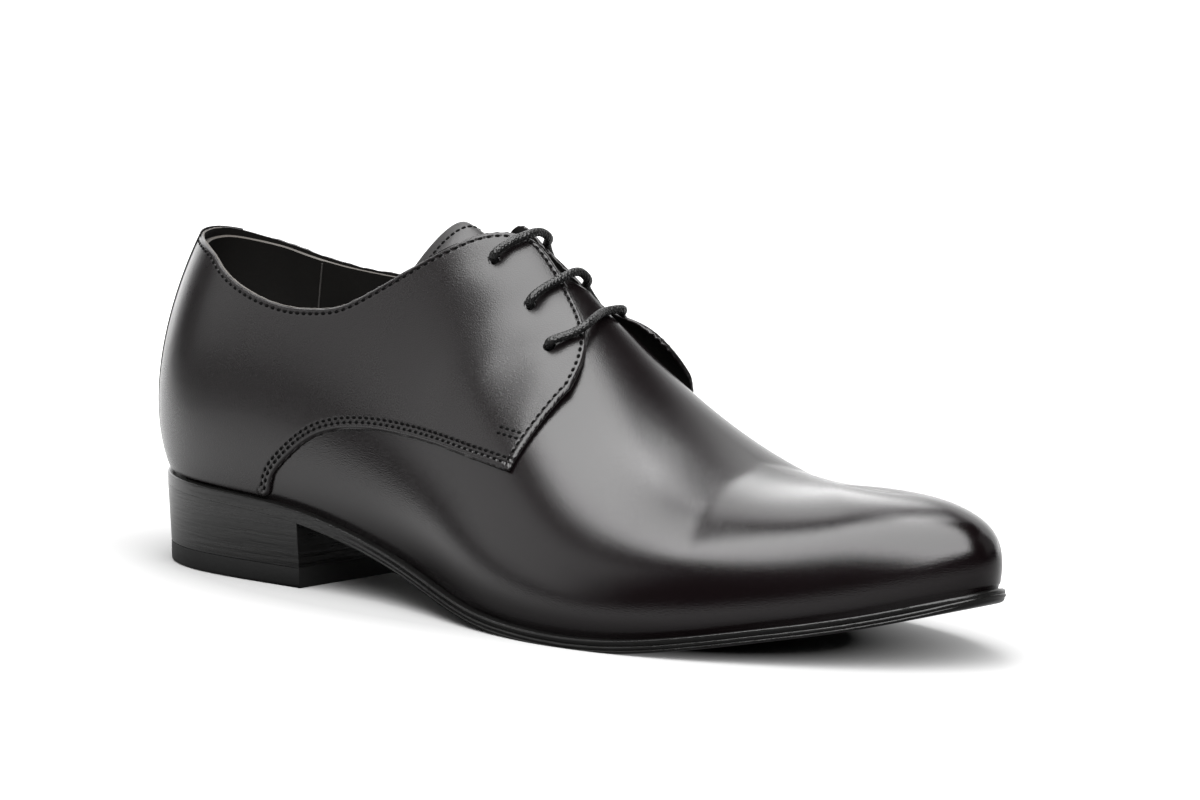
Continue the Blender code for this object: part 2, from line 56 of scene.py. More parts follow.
# %% [markdown]
# ## Smooth curves through short tables
# A last is known by a few measures: the sole's outline, the line where the upper meets the sole, the
# ridge on top, and how full each section is. Bezier curves drawn by hand could hold them, but short
# tables with a smooth cubic through their rows are easier to read and to correct, and every piece below
# can ask them for a point.

# %% A smooth curve through the rows of a table
MM = 0.001


class Curve:
    """A smooth cubic through rows of numbers, running on straight past its ends, or closing on itself."""

    def __init__(self, places, values, closed=False):
        self.t = np.asarray(places, float)
        self.y = np.asarray(values, float)
        self.closed = closed
        count = len(self.t)
        step = np.diff(self.t)
        matrix = np.zeros((count, count))
        right = np.zeros_like(self.y)
        for i in range(1, count - 1):
            before, after = step[i - 1], step[i]
            matrix[i, i - 1 : i + 2] = after, 2 * (before + after), before
            slope_before = (self.y[i] - self.y[i - 1]) / before
            slope_after = (self.y[i + 1] - self.y[i]) / after
            right[i] = 3 * (after * slope_before + before * slope_after)
        if closed:
            before, after = step[-1], step[0]
            matrix[0, 0] = 2 * (before + after)
            matrix[0, 1] = before
            matrix[0, -2] = after
            slope_before = (self.y[-1] - self.y[-2]) / before
            slope_after = (self.y[1] - self.y[0]) / after
            right[0] = 3 * (after * slope_before + before * slope_after)
            matrix[-1, 0] = 1
            matrix[-1, -1] = -1
        else:
            matrix[0, :2] = 2, 1
            right[0] = 3 * (self.y[1] - self.y[0]) / step[0]
            matrix[-1, -2:] = 1, 2
            right[-1] = 3 * (self.y[-1] - self.y[-2]) / step[-1]
        self.d = np.linalg.solve(matrix, right)

    def __call__(self, place):
        x = np.asarray(place, float)
        if self.closed:
            x = self.t[0] + (x - self.t[0]) % (self.t[-1] - self.t[0])
        i = np.clip(np.searchsorted(self.t, x, side="right") - 1, 0, len(self.t) - 2)
        width = self.t[i + 1] - self.t[i]
        u = (x - self.t[i]) / width
        held = np.clip(u, 0, 1)
        low, high = (u - held) * (u < 0) * width, (u - held) * (u > 1) * width
        if self.y.ndim > 1:
            width, held, low, high = (k[..., None] for k in (width, held, low, high))
        first, second = self.y[i], self.y[i + 1]
        slope, next_slope = self.d[i], self.d[i + 1]
        left = (1 - held) ** 2
        inside = first * (1 + 2 * held) * left + slope * width * held * left
        inside = inside + second * held**2 * (3 - 2 * held) + next_slope * width * held**2 * (held - 1)
        return inside + slope * low + next_slope * high


def table(rows):
    """A curve over the first column of a table, giving the other columns."""
    rows = np.array(rows, float)
    return Curve(rows[:, 0], rows[:, 1:])


def smooth(low, high, value):
    t = np.clip((value - low) / (high - low), 0, 1)
    return t * t * (3 - 2 * t)


# %% Tables of the last, in millimetres from the back of the sole
SOLE_LENGTH = 297.0
ANKLE_X, TOE_TOP_X = 52.0, 262.0

# Sole outline: station, lateral half width, medial half width
OUTLINE = (
    (0, 0, 0),
    (4.5, 14.5, 14.5),
    (15, 24.5, 25),
    (32, 31, 31),
    (60, 33, 29.5),
    (90, 33.5, 25.5),
    (120, 37, 26),
    (150, 46, 33),
    (180, 52, 42),
    (205, 51, 45),
    (230, 45, 42.5),
    (255, 34.5, 36),
    (275, 23, 27.5),
    (290, 10.5, 16.5),
    (297, -3, 3),
)
# Feather line, where the upper meets the sole: station, height, inset from the sole's edge
FEATHER = (
    (0, 26.5, 2.4),
    (40, 25.0, 2.5),
    (75, 22.4, 2.6),
    (105, 16.3, 2.4),
    (133, 9.6, 2.4),
    (155, 5.5, 2.4),
    (178, 3.7, 2.6),
    (207, 3.7, 2.8),
    (230, 6.5, 2.8),
    (250, 10.0, 2.8),
    (275, 15.0, 2.4),
    (297, 21.2, 1.5),
)
# Ridge on top of the foot: x, y, height
RIDGE = (
    (50, 0, 132),
    (80, 0, 128),
    (110, 1.5, 116),
    (140, 4, 96),
    (165, 6, 75.2),
    (190, 7, 57),
    (215, 6.5, 45.3),
    (240, 5.5, 42.3),
    (262, 4.5, 43.5),
    (285, 3, 43),
)
# Sections: station, lateral lean, medial lean, lateral side, medial side, top fullness
SECTIONS = (
    (0, 25, 25, 0.34, 0.34, 0.50),
    (30, 22, 20, 0.36, 0.36, 0.50),
    (75, 16, 16, 0.42, 0.42, 0.52),
    (120, 14, 26, 0.40, 0.42, 0.50),
    (160, 16, 18, 0.42, 0.44, 0.42),
    (200, 14, 10, 0.52, 0.52, 0.45),
    (235, 10, 8, 0.64, 0.62, 0.58),
    (265, 9, 9, 0.68, 0.66, 0.68),
    (297, 12, 12, 0.67, 0.67, 0.86),
)
# Under the medial facing the instep falls away like a roof: its pitch, and the stations where it starts
# and ends
ROOF_PITCH = 1.0
ROOF_START, ROOF_END = (104, 122), (138, 160)
# How softly the lateral side gives way to the medial one at the heel and the toe
SIDE_BLEND = 0.02
FEATHER_LINE, RIDGE_LINE, SECTION_LINE = table(FEATHER), table(RIDGE), table(SECTIONS)

# %% [markdown]
# ## The last as one function
# Two numbers name any place on the last: an angle walked round the sole (0 at the heel, pi at the toe,
# lateral side positive) and a rise from the feather line (0) to the ridge (1). Each section is one
# Bezier, which gives the straight wall, the round cheek and the flat top of a chiselled toe with very
# few numbers.


# %% Points and normals of the last
def angle_of(station):
    return np.arccos(np.clip(1 - 2 * np.asarray(station, float) / SOLE_LENGTH, -1, 1))


def station_of(angle):
    return SOLE_LENGTH / 2 * (1 - np.cos(angle))


def outline_curve():
    rows = np.array(OUTLINE, float)
    turn = angle_of(rows[:, 0])
    places = np.concatenate([turn, 2 * math.pi - turn[-2::-1]])
    return Curve(places, np.concatenate([-rows[:, 1], rows[-2::-1, 2]]), closed=True)


OUTLINE_Y = outline_curve()


def outline(angle, inset):
    """Points of the sole's outline, moved in by inset."""
    x, y = station_of(angle), OUTLINE_Y(angle)
    small = 1e-4
    tangent_x = station_of(angle + small) - station_of(angle - small)
    tangent_y = OUTLINE_Y(angle + small) - OUTLINE_Y(angle - small)
    size = np.hypot(tangent_x, tangent_y)
    return x - inset * tangent_y / size, y + inset * tangent_x / size


def bare_last(angle, rise):
    """The foot's form: rise 0 on the feather line, 1 on the ridge, along one Bezier per section."""
    station = station_of(angle)
    foot = FEATHER_LINE(station)
    foot_x, foot_y = outline(angle, foot[..., 1])
    foot_z = foot[..., 0]
    ridge_x = ANKLE_X + (TOE_TOP_X - ANKLE_X) * station / SOLE_LENGTH
    ridge = RIDGE_LINE(ridge_x)
    small = 0.01
    slope = (RIDGE_LINE(ridge_x + small)[..., 1] - RIDGE_LINE(ridge_x - small)[..., 1]) / (2 * small)
    row = SECTION_LINE(station)
    sway = np.sin(angle)
    medial = 0.5 - 0.5 * sway / np.sqrt(sway**2 + SIDE_BLEND)
    lean = np.tan(np.radians(row[..., 0] * (1 - medial) + row[..., 1] * medial))
    side = row[..., 2] * (1 - medial) + row[..., 3] * medial
    top = row[..., 4]
    out_x, out_y = foot_x - ridge_x, foot_y - ridge[..., 0]
    reach = np.hypot(out_x, out_y)
    climb = (ridge[..., 1] - foot_z) * side
    p0 = np.stack([foot_x, foot_y, foot_z], -1)
    p1 = p0 + np.stack([out_x / reach * climb * lean, out_y / reach * climb * lean, climb], -1)
    p3 = np.stack([ridge_x, ridge[..., 0], ridge[..., 1]], -1)
    roof = ROOF_PITCH * medial * smooth(*ROOF_START, station) * (1 - smooth(*ROOF_END, station))
    p2 = p3 + np.stack([out_x * top, out_y * top, slope * out_x * top - roof * reach * top], -1)
    t = rise[..., None]
    return p0 * (1 - t) ** 3 + 3 * p1 * t * (1 - t) ** 2 + 3 * p2 * t**2 * (1 - t) + p3 * t**3


def unit(vectors):
    return vectors / (np.linalg.norm(vectors, axis=-1, keepdims=True) + 1e-12)


def last_normal(angle, rise):
    small = 1e-4
    held = np.clip(rise, 0.001, 0.999)
    along = bare_last(angle + small, held) - bare_last(angle - small, held)
    up = bare_last(angle, held + small) - bare_last(angle, held - small)
    return unit(np.cross(along, up))


def last(angle, rise, lift):
    """The foot's form, moved out along its own normal by lift."""
    angle, rise, lift = np.broadcast_arrays(*(np.asarray(value, float) for value in (angle, rise, lift)))
    return bare_last(angle, rise) + last_normal(angle, rise) * lift[..., None]


# %% [markdown]
# ## Where the shoe stands in the frame
# The tables start at the back of the sole, while the frame's origin is under the middle of the shoe.
# The welt's own box gives the difference: its back is station 0, and its lateral edge is the lowest y
# of the outline.

# %% Find the shift between the tables and the frame
# Columns of the welt's solid, whose edge is straight between them
WELT_COLUMNS = 80
welt_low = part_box("welt")[0]
ring_y = OUTLINE_Y(np.linspace(0, 2 * math.pi, WELT_COLUMNS, endpoint=False))
SHIFT = np.array([-welt_low.x / MM, ring_y.min() - welt_low.y / MM, 0.0])
print("tables to frame:", np.round(SHIFT, 3), "mm")


def placed(points):
    """Table millimetres to the frame's metres."""
    return (np.asarray(points, float) - SHIFT) * MM


# %% [markdown]
# ## Finishes
# A black shoe is all gloss: its colour is almost nothing, and what the eye reads is grain, polish and
# wear. Each finish is a Principled shader whose roughness and bump come from small patterns at the real
# scale of the thing. One class below wraps a socket so that shader maths reads like Python, and a second
# holds a material while it is made.


# %% Shader maths as Python expressions
class Wire:
    """A node's output. Arithmetic on it adds Math nodes."""

    def __init__(self, look, socket):
        self.look = look
        self.socket = socket

    def math(self, operation, *values):
        return self.look.node("ShaderNodeMath", {"operation": operation}, dict(enumerate(values)))

    def __add__(self, other):
        return self.math("ADD", self, other)

    __radd__ = __add__

    def __sub__(self, other):
        return self.math("SUBTRACT", self, other)

    def __rsub__(self, other):
        return self.math("SUBTRACT", other, self)

    def __mul__(self, other):
        return self.math("MULTIPLY", self, other)

    __rmul__ = __mul__

    def __abs__(self):
        return self.math("ABSOLUTE", self)

    def cosine(self):
        return self.math("COSINE", self)

    def held(self):
        """Kept between 0 and 1."""
        return self.look.node("ShaderNodeClamp", {}, {"Value": self})


class Look:
    """One material, with its Principled shader and the nodes that feed it."""

    def __init__(self, name, **sockets):
        self.material = bpy.data.materials.new(name)
        self.material.use_nodes = True
        self.tree = self.material.node_tree
        self.shader = self.tree.nodes["Principled BSDF"]
        self.where = self.node("ShaderNodeTexCoord", {}, {}, "Object")
        for socket, value in sockets.items():
            self.set(socket.replace("_", " "), value)

    def plug(self, socket, value):
        if isinstance(value, Wire):
            self.tree.links.new(value.socket, socket)
        else:
            socket.default_value = value

    def set(self, socket, value):
        self.plug(self.shader.inputs[socket], value)

    def node(self, kind, settings, sockets, output=0):
        made = self.tree.nodes.new(kind)
        for name, value in settings.items():
            setattr(made, name, value)
        for name, value in sockets.items():
            self.plug(made.inputs[name], value)
        return Wire(self, made.outputs[output])

    def stretched(self, scale, step=(0.0, 0.0, 0.0)):
        """Object coordinates with each axis scaled, then moved."""
        sockets = {0: self.where, 1: scale, 2: step}
        return self.node("ShaderNodeVectorMath", {"operation": "MULTIPLY_ADD"}, sockets)

    def along(self):
        """How far forward of the shoe's middle, in metres."""
        return self.node("ShaderNodeSeparateXYZ", {}, {0: self.where}, "X")

    def noise(self, per_metre, detail=2.0, roughness=0.5, vector=None):
        sockets = {
            "Vector": vector or self.where,
            "Scale": per_metre,
            "Detail": detail,
            "Roughness": roughness,
        }
        return self.node("ShaderNodeTexNoise", {}, sockets, "Fac")

    def pebbles(self, per_metre):
        settings = {"feature": "SMOOTH_F1"}
        sockets = {"Vector": self.where, "Scale": per_metre, "Smoothness": 0.6}
        return self.node("ShaderNodeTexVoronoi", settings, sockets, "Distance")

    def mix(self, factor, first, second):
        """Two colours mixed by a factor."""
        return self.node("ShaderNodeMix", {"data_type": "RGBA"}, {0: factor, 6: first, 7: second}, 2)

    def attribute(self, name):
        return self.node("ShaderNodeAttribute", {"attribute_name": name}, {}, "Fac")

    def relief(self, height_mm):
        """Bump from a height in millimetres."""
        sockets = {"Strength": 1.0, "Distance": MM, "Height": height_mm}
        self.set("Normal", self.node("ShaderNodeBump", {}, sockets))


def grey(level, warm=0.0):
    return (level * (1 + warm), level, level * (1 - warm), 1.0)


# %% [markdown]
# ## Calf leather
# Polished calf has pebbles of about a third of a millimetre, a slow change of gloss where the polish
# was rubbed, and a puckered valley along each row of stitches. For each seam the quarters carry two
# numbers per point, how far it is from the seam and how far along, so that the shader can pull the
# leather in at each stitch without a heavy mesh.

# %% The black calf
STITCH_PITCH = 2.4
COLLAR_ROW = 1.5
HEM_ROWS = (1.7, 3.0)
# Scales per metre of the pebbles, the fine grain, the rubbed polish and the dye
PEBBLES, FINE_GRAIN, RUBBED, DYE = 2900, 2600, 26, 60
# Heights in millimetres of the pebbles, the fine grain and the pucker
PEBBLE_MM, FINE_MM, PUCKER_MM = 0.030, 0.014, 0.30
DARK_DYE, LIGHT_DYE = (0.0021, 0.0011, 0.0013, 1), (0.0034, 0.0022, 0.0025, 1)
# How steep the pucker's sides are, and how much of its depth comes and goes with the stitches
PUCKER_SLOPE, PUCKER_BEAT = 1.1, 0.4
# The toe, forward of this place in metres, is polished more: how steeply that fades behind it, and how much
# rougher the rest is
POLISHED_FROM, POLISH_FADE, LESS_POLISHED = 0.095, 20, 0.06
# How far the roughness swings with the rubbing and the grain; the least coat of polish, and its swing
RUB_SWING, GRAIN_SWING, COAT, COAT_SWING = 0.08, 0.04, 0.02, 0.08


def pucker(look, name, row):
    """A valley along a row of stitches, deeper at each needle hole, in millimetres."""
    off = abs(look.attribute(name + "_mm") - row)
    valley = (1 - off * PUCKER_SLOPE).held()
    beat = (look.attribute(name + "_along") * (2 * math.pi / STITCH_PITCH)).cosine()
    return valley * valley * (1 - PUCKER_BEAT + PUCKER_BEAT * beat)


def make_calf(name, matt, rows=()):
    """Black calf of a given roughness, puckered along the rows of stitches that it carries."""
    look = Look(name, Specular_IOR_Level=0.5, Coat_Roughness=0.12, Coat_IOR=1.5)
    pebble = look.pebbles(PEBBLES)
    rubbed = look.noise(RUBBED, 3)
    fine = look.noise(FINE_GRAIN, 2)
    look.set("Base Color", look.mix(look.noise(DYE, 4), DARK_DYE, LIGHT_DYE))
    soft = ((POLISHED_FROM - look.along()) * POLISH_FADE).held() * LESS_POLISHED
    look.set("Roughness", matt + soft + (rubbed - 0.5) * RUB_SWING + (fine - 0.5) * GRAIN_SWING)
    look.set("Coat Weight", COAT + rubbed * COAT_SWING)
    height = pebble * PEBBLE_MM + fine * FINE_MM
    for seam, row in rows:
        height = height - pucker(look, seam, row) * PUCKER_MM
    look.relief(height)
    return look.material


calf = make_calf("calf", 0.16)
sewn_rows = [("edge", COLLAR_ROW)] + [("hem", row) for row in HEM_ROWS]
quarter_calf = make_calf("quarter_calf", 0.22, sewn_rows)
tongue_calf = make_calf("tongue_calf", 0.30)
print("calf finishes:", calf.name, quarter_calf.name, tongue_calf.name)

# %% The other finishes
# Scales per metre of the changes in shade and in gloss, and how far the gloss swings
SHADE, GLOSS, GLOSS_SWING = 45, 35, 0.2
# Scales of the sole edge's streaks and bands, per metre along, across and up
STREAKS, BANDS = (45, 45, 900), (14, 14, 260)


def make_plain(name, dark, light, rough, grain_per_metre, grain_mm, **sockets):
    """A dark finish with two close colours, uneven gloss and one grain."""
    look = Look(name, **sockets)
    grain = look.noise(grain_per_metre, 3)
    look.set("Base Color", look.mix(look.noise(SHADE, 4), dark, light))
    look.set("Roughness", rough + (look.noise(GLOSS, 3) - 0.5) * GLOSS_SWING)
    look.relief(grain * grain_mm)
    return look.material


lining = make_plain("lining", grey(0.001), grey(0.009, 0.12), 0.62, 700, 0.06, Specular_IOR_Level=0.25)
cut_edge = make_plain("cut_edge", grey(0.004), grey(0.010, 0.05), 0.36, 800, 0.05)
# The lining's raw edge is pale; the same finish is put on the lateral collar's cut edge as a painted
# highlight
raw_edge_and_painted_highlight = make_plain("raw_edge_and_painted_highlight", (0.024, 0.021, 0.018, 1), (0.09, 0.080, 0.070, 1), 0.6, 800, 0.05)
thread = make_plain("thread", grey(0.0006), grey(0.0012), 0.75, 2500, 0.03, Specular_IOR_Level=0.06)
lining_thread = make_plain("lining_thread", grey(0.03, 0.06), grey(0.06, 0.06), 0.6, 2500, 0.03)
sock = make_plain("sock", grey(0.004), grey(0.007, 0.06), 0.55, 600, 0.05)
rubber = make_plain("rubber", grey(0.0025), grey(0.005), 0.6, 900, 0.03, Specular_IOR_Level=0.3)


def make_sole_edge():
    """Dyed and waxed leather edge: flat streaks that run along the lifts."""
    look = Look("sole_edge", Specular_IOR_Level=0.4)
    streak = look.noise(1.0, 4, 0.6, look.stretched(STREAKS))
    band = look.noise(1.0, 2, 0.5, look.stretched(BANDS))
    look.set("Base Color", look.mix(streak, grey(0.001), grey(0.005, 0.05)))
    look.set("Roughness", 0.18 + band * 0.18)
    look.relief(streak * 0.16 + band * 0.08)
    return look.material


def make_waxed():
    """Braided cotton under wax: dark, with small bright flats."""
    look = Look("waxed_cord", Specular_IOR_Level=0.45)
    flats = look.noise(1100, 2)
    look.set("Base Color", look.mix(flats, grey(0.001), grey(0.004)))
    look.set("Roughness", 0.16 + flats * 0.25)
    look.relief(flats * 0.30)
    return look.material


sole_edge = make_sole_edge()
waxed = make_waxed()
print("finishes:", len(bpy.data.materials))

# %% [markdown]
# ## Making a piece
# Blender takes a mesh as points and faces. The helpers below weld a piece's points, face it outwards,
# shade it and hang it on the shoe's body. A leather piece is a closed sheet between an outer and an
# inner grid, with a half-round cut edge between them, because a real cut edge catches a thin line of
# light.


# %% Points and faces to a piece
def linked(name, data):
    """A new object in the scene."""
    thing = bpy.data.objects.new(name, data)
    bpy.context.scene.collection.objects.link(thing)
    return thing


def outward_mesh(name, points, faces, looks, face_looks=None):
    """A mesh with its points welded and its faces turned outwards."""
    mesh = bpy.data.meshes.new(name)
    mesh.from_pydata(placed(points).tolist(), [], faces)
    for look in looks:
        mesh.materials.append(look)
    if face_looks is not None:
        mesh.polygons.foreach_set("material_index", face_looks)
    work = bmesh.new()
    work.from_mesh(mesh)
    bmesh.ops.remove_doubles(work, verts=work.verts, dist=1e-6)
    bmesh.ops.recalc_face_normals(work, faces=work.faces)
    work.to_mesh(mesh)
    work.free()
    return mesh


def make_piece(name, points, faces, looks, nodes=(), face_looks=None, sharp=40):
    """A piece of the shoe, shaded with edges sharper than an angle in degrees left hard."""
    mesh = outward_mesh(name, points, faces, looks, face_looks)
    mesh.shade_smooth()
    mesh.set_sharp_from_angle(angle=math.radians(sharp))
    piece = linked(name, mesh)
    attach(piece, "root")
    if nodes:
        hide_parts(*nodes)
    print(name, len(mesh.polygons), "faces")
    return piece


def border_of(columns, rows):
    """Grid places round the border, each with its neighbour one step inside."""
    places = [(i, 0) for i in range(columns)]
    places += [(columns - 1, j) for j in range(1, rows)]
    places += [(i, rows - 1) for i in range(columns - 2, -1, -1)]
    places += [(0, j) for j in range(rows - 2, 0, -1)]
    inside = []
    for i, j in places:
        toward_i = 1 if i == 0 else -1 if i == columns - 1 else 0
        toward_j = 1 if j == 0 else -1 if j == rows - 1 else 0
        inside.append((i + toward_i, j + toward_j))
    return np.array(places), np.array(inside)


def sheet_mesh(outer, inner, roundness=0.8, steps=6):
    """Points, faces and looks (0 outside, 1 edge, 2 inside) of a closed sheet with a half-round edge."""
    columns, rows = outer.shape[:2]
    below = columns * rows
    i, j = np.meshgrid(np.arange(columns - 1), np.arange(rows - 1), indexing="ij")
    a = (i * rows + j).ravel()
    b = a + rows
    faces = np.concatenate(
        [np.stack([a, b, b + 1, a + 1], -1), np.stack([a + 1, b + 1, b, a], -1) + below]
    )
    looks = [0] * len(a) + [2] * len(a)
    places, inside = border_of(columns, rows)
    top, bottom = outer[tuple(places.T)], inner[tuple(places.T)]
    middle = (top + bottom) / 2
    within = (outer[tuple(inside.T)] + inner[tuple(inside.T)]) / 2
    thick = np.linalg.norm(top - bottom, axis=1, keepdims=True)
    away = unit(middle - within) * thick / 2 * roundness
    points = [outer.reshape(-1, 3), inner.reshape(-1, 3)]
    rim = [places[:, 0] * rows + places[:, 1]]
    count = len(places)
    for k in range(1, steps):
        turn = math.pi * k / steps
        share = (1 - math.cos(turn)) / 2
        points.append(top * (1 - share) + bottom * share + away * math.sin(turn))
        rim.append(2 * below + (k - 1) * count + np.arange(count))
    rim.append(below + rim[0])
    strips = []
    for near, far in zip(rim[:-1], rim[1:]):
        strips.append(np.stack([near, far, np.roll(far, -1), np.roll(near, -1)], -1))
    strips = np.concatenate(strips)
    looks += [1] * len(strips)
    return np.concatenate(points), np.concatenate([faces, strips]).tolist(), looks


# %% [markdown]
# ## The vamp and the lining
# The vamp is the front of the shoe, one hide pulled from the welt over the toe to the throat. It could
# be a subdivision cage, but the last's own function keeps the reflections on the chiselled toe smooth.
# The lining is a second, thinner wall inside it. Both run round the heel, and both are open below and
# at the collar.

# %% Edge of the collar and throat
# Station, lateral rise, medial rise
OPENING = (
    (0, 0.492, 0.492),
    (15, 0.480, 0.447),
    (31, 0.444, 0.420),
    (45, 0.408, 0.412),
    (57, 0.393, 0.414),
    (67, 0.394, 0.423),
    (78, 0.416, 0.444),
    (85, 0.449, 0.475),
    (92, 0.510, 0.527),
    (99, 0.600, 0.610),
    (106, 0.712, 0.715),
    (112, 0.820, 0.810),
    (118, 0.880, 0.862),
    (126, 0.905, 0.872),
    (133, 0.935, 0.905),
    (140, 1.0, 1.0),
)
OPENING_LINE = table(OPENING)
THROAT_STATIONS = (82.0, 142.0)
CLOSED_FROM = OPENING[-1][0]
# How far the wall runs on below the feather line, as a share of its height
BELOW = 0.02
# How far the rim's middle stands above its two edges, and the power that spaces the wall's rows
RIM_ROUND, ROW_POWER = 0.2, 0.9
# Stations over which the trims of the two sides part at the heel, and give way to the throat's
TRIM_PARTS, TRIM_FRONT = (0, 14), (66, 86)


def opening_rise(station, side, trim):
    """Height of the opening's edge at a station, trimmed down a little, and 1 where the wall is closed."""
    edge = OPENING_LINE(np.minimum(station, CLOSED_FROM))[..., 0 if side < 0 else 1]
    lateral, medial, front = trim
    own = (lateral + medial) / 2 + (medial - lateral) / 2 * side * smooth(*TRIM_PARTS, station)
    own = own + (front - own) * smooth(*TRIM_FRONT, station)
    return np.where(station < CLOSED_FROM, np.minimum(edge - own, 0.999), 1.0)


def wall_mesh(columns, rows, lifts, trim):
    """Points, faces and looks of a wall round the last; a lift is a function of station, rise and side."""
    first, final = angle_of(THROAT_STATIONS)
    marks = (0, first, final, math.pi)
    spans = [np.linspace(a, b, n, endpoint=False) for a, b, n in zip(marks, marks[1:], columns)]
    half = np.concatenate(spans + [[math.pi]])
    station = station_of(half)
    up = np.concatenate([[-BELOW], np.linspace(0, 1, rows) ** ROW_POWER])
    shells = []
    for lift in lifts:
        pair = []
        for side in (-1, 1):
            edge = opening_rise(station, side, trim)
            rise = edge[:, None] * up[None, :]
            turn = np.broadcast_to((-side * half)[:, None], rise.shape)
            pair.append(last(turn, rise, lift(station_of(turn), rise, side)))
        closed = station >= CLOSED_FROM
        middle = (pair[0][closed, -1] + pair[1][closed, -1]) / 2
        pair[0][closed, -1] = middle
        pair[1][closed, -1] = middle
        pair[1][0] = pair[0][0]
        pair[1][-1] = pair[0][-1]
        shells.append(np.concatenate([pair[0], pair[1][-2:0:-1]]))
    open_column = np.concatenate([station < CLOSED_FROM, (station < CLOSED_FROM)[-2:0:-1]])
    count, deep = len(shells[0]), rows + 1
    below = count * deep
    rounded = (shells[0][:, -1] + shells[1][:, -1]) / 2
    rounded += unit(shells[0][:, -1] - shells[0][:, -2]) * RIM_ROUND
    faces, looks = [], []
    for i in range(count):
        k = (i + 1) % count
        at_rim = open_column[i] or open_column[k]
        for j in range(rows):
            a, b = i * deep + j, k * deep + j
            faces.append((a, b, b + 1, a + 1))
            faces.append((below + a, below + a + 1, below + b + 1, below + b))
            looks += [0, 0]
        a, b = i * deep, k * deep
        faces.append((b, a, below + a, below + b))
        looks.append(0)
        if at_rim:
            a, b = a + rows, b + rows
            faces.append((a, b, 2 * below + k, 2 * below + i))
            faces.append((2 * below + i, 2 * below + k, below + b, below + a))
            looks += [1, 1]
    for i in np.flatnonzero(~open_column):
        rounded[i] = shells[0][i, -1]
    return np.concatenate([s.reshape(-1, 3) for s in shells] + [rounded]), faces, looks


# %% Vamp
VAMP_THICK, WALL = 1.0, 1.7
# Trim on the lateral collar, the medial collar and the throat
VAMP_TRIM, LINING_TRIM = (0.010, -0.004, 0.006), (0.008, -0.011, 0.004)
# Against the welt the leather turns under: how far it is drawn in, and up to which rise
TUCK_DEPTH, TUCK_RISE = 0.3, 0.018
# Behind the stiff toe the vamp breaks in one soft fold: its station, depth and reach, how round its
# bottom is, and the rises between which it grows to its depth
FOLD_STATION, FOLD_DEPTH, FOLD_REACH = 228.0, 0.7, 9.0
FOLD_ROUND, FOLD_RISES = 1.0, (0.30, 0.50)
# At the tip the leather is drawn down tighter over the last: how far, and over which stations and rises
TOE_FALL, TOE_STATIONS, TOE_RISES = 1.2, (268, 297), (0.25, 0.65)


def tuck(rise):
    return -TUCK_DEPTH * (1 - smooth(0, TUCK_RISE, rise))


def vamp_lift(station, rise, side):
    """How far the vamp's outer face stands off the last."""
    near = np.sqrt((station - FOLD_STATION) ** 2 + FOLD_ROUND**2)
    fold = FOLD_DEPTH * np.exp(-near / FOLD_REACH) * smooth(*FOLD_RISES, rise)
    fall = TOE_FALL * smooth(*TOE_STATIONS, station) * smooth(*TOE_RISES, rise)
    return tuck(rise) - fold - fall


def vamp_inside(station, rise, side):
    return vamp_lift(station, rise, side) - VAMP_THICK


points, faces, looks = wall_mesh((30, 60, 110), 80, (vamp_lift, vamp_inside), VAMP_TRIM)
make_piece("vamp", points, faces, [calf, cut_edge], ["upper"], looks)

# %% Lining, with the seam of its heel piece
LINING_GAP = 0.05
# Seam of the heel piece: its station, how thick the piece is, and half the width over which its edge
# falls
LINING_SEAM, HEEL_PIECE, SEAM_HALF = 25.0, 0.35, 0.5


def lining_outside(station, rise, side):
    return vamp_inside(station, rise, side) - LINING_GAP


def lining_inside(station, rise, side):
    heel_piece = HEEL_PIECE * (1 - smooth(LINING_SEAM - SEAM_HALF, LINING_SEAM + SEAM_HALF, station))
    return vamp_lift(station, rise, side) - WALL - heel_piece


points, faces, looks = wall_mesh((60, 50, 40), 120, (lining_outside, lining_inside), LINING_TRIM)
make_piece("lining", points, faces, [lining, raw_edge_and_painted_highlight], ["upper"], looks)

# %% [markdown]
# ## The quarters
# Two quarters wrap the heel and meet over the tongue; on a derby they lie on top of the vamp and their
# front ends stand free as flaps. A table gives their lower and upper edge, and the sheet between them
# rises off the last where the flap is free. The eyelets are real holes, cut with a Boolean, because the
# lace runs into them.

# %% Edges of the quarters, from the heel to the front
# Bottom station, medial bottom station, bottom rise,
# lateral top station, lateral top rise, medial top station, medial top rise
QUARTERS = (
    (0, 0, 0.008, 0, 0.505, 0, 0.505),
    (15, 15, 0.008, 15.8, 0.492, 12, 0.468),
    (30, 30, 0.008, 31, 0.456, 26, 0.438),
    (46, 46, 0.008, 45.5, 0.420, 40, 0.425),
    (61, 61, 0.008, 57.5, 0.405, 53, 0.425),
    (65.5, 65.5, 0.050, 67.4, 0.4065, 66, 0.434),
    (73.2, 73.2, 0.112, 77.8, 0.428, 77, 0.455),
    (82.5, 82.5, 0.172, 85, 0.462, 86, 0.492),
    (93, 93, 0.2185, 92, 0.523, 94, 0.560),
    (105, 105, 0.2575, 99, 0.607, 101, 0.665),
    (117, 118, 0.291, 105.5, 0.716, 107, 0.800),
    (128, 129.5, 0.3205, 111, 0.834, 112.5, 0.865),
    (137, 139.5, 0.3435, 117.5, 0.930, 119, 0.895),
    (144.5, 147.5, 0.362, 125, 0.945, 128, 0.905),
    (150, 154, 0.376, 137, 0.917, 142, 0.893),
    (154.5, 159, 0.3865, 147.7, 0.875, 153.5, 0.872),
    (158, 162.8, 0.394, 156.1, 0.824, 161.5, 0.832),
    (160.2, 165.2, 0.399, 161.5, 0.757, 166.5, 0.765),
    (161.2, 166.4, 0.401, 164.4, 0.676, 168.6, 0.680),
)
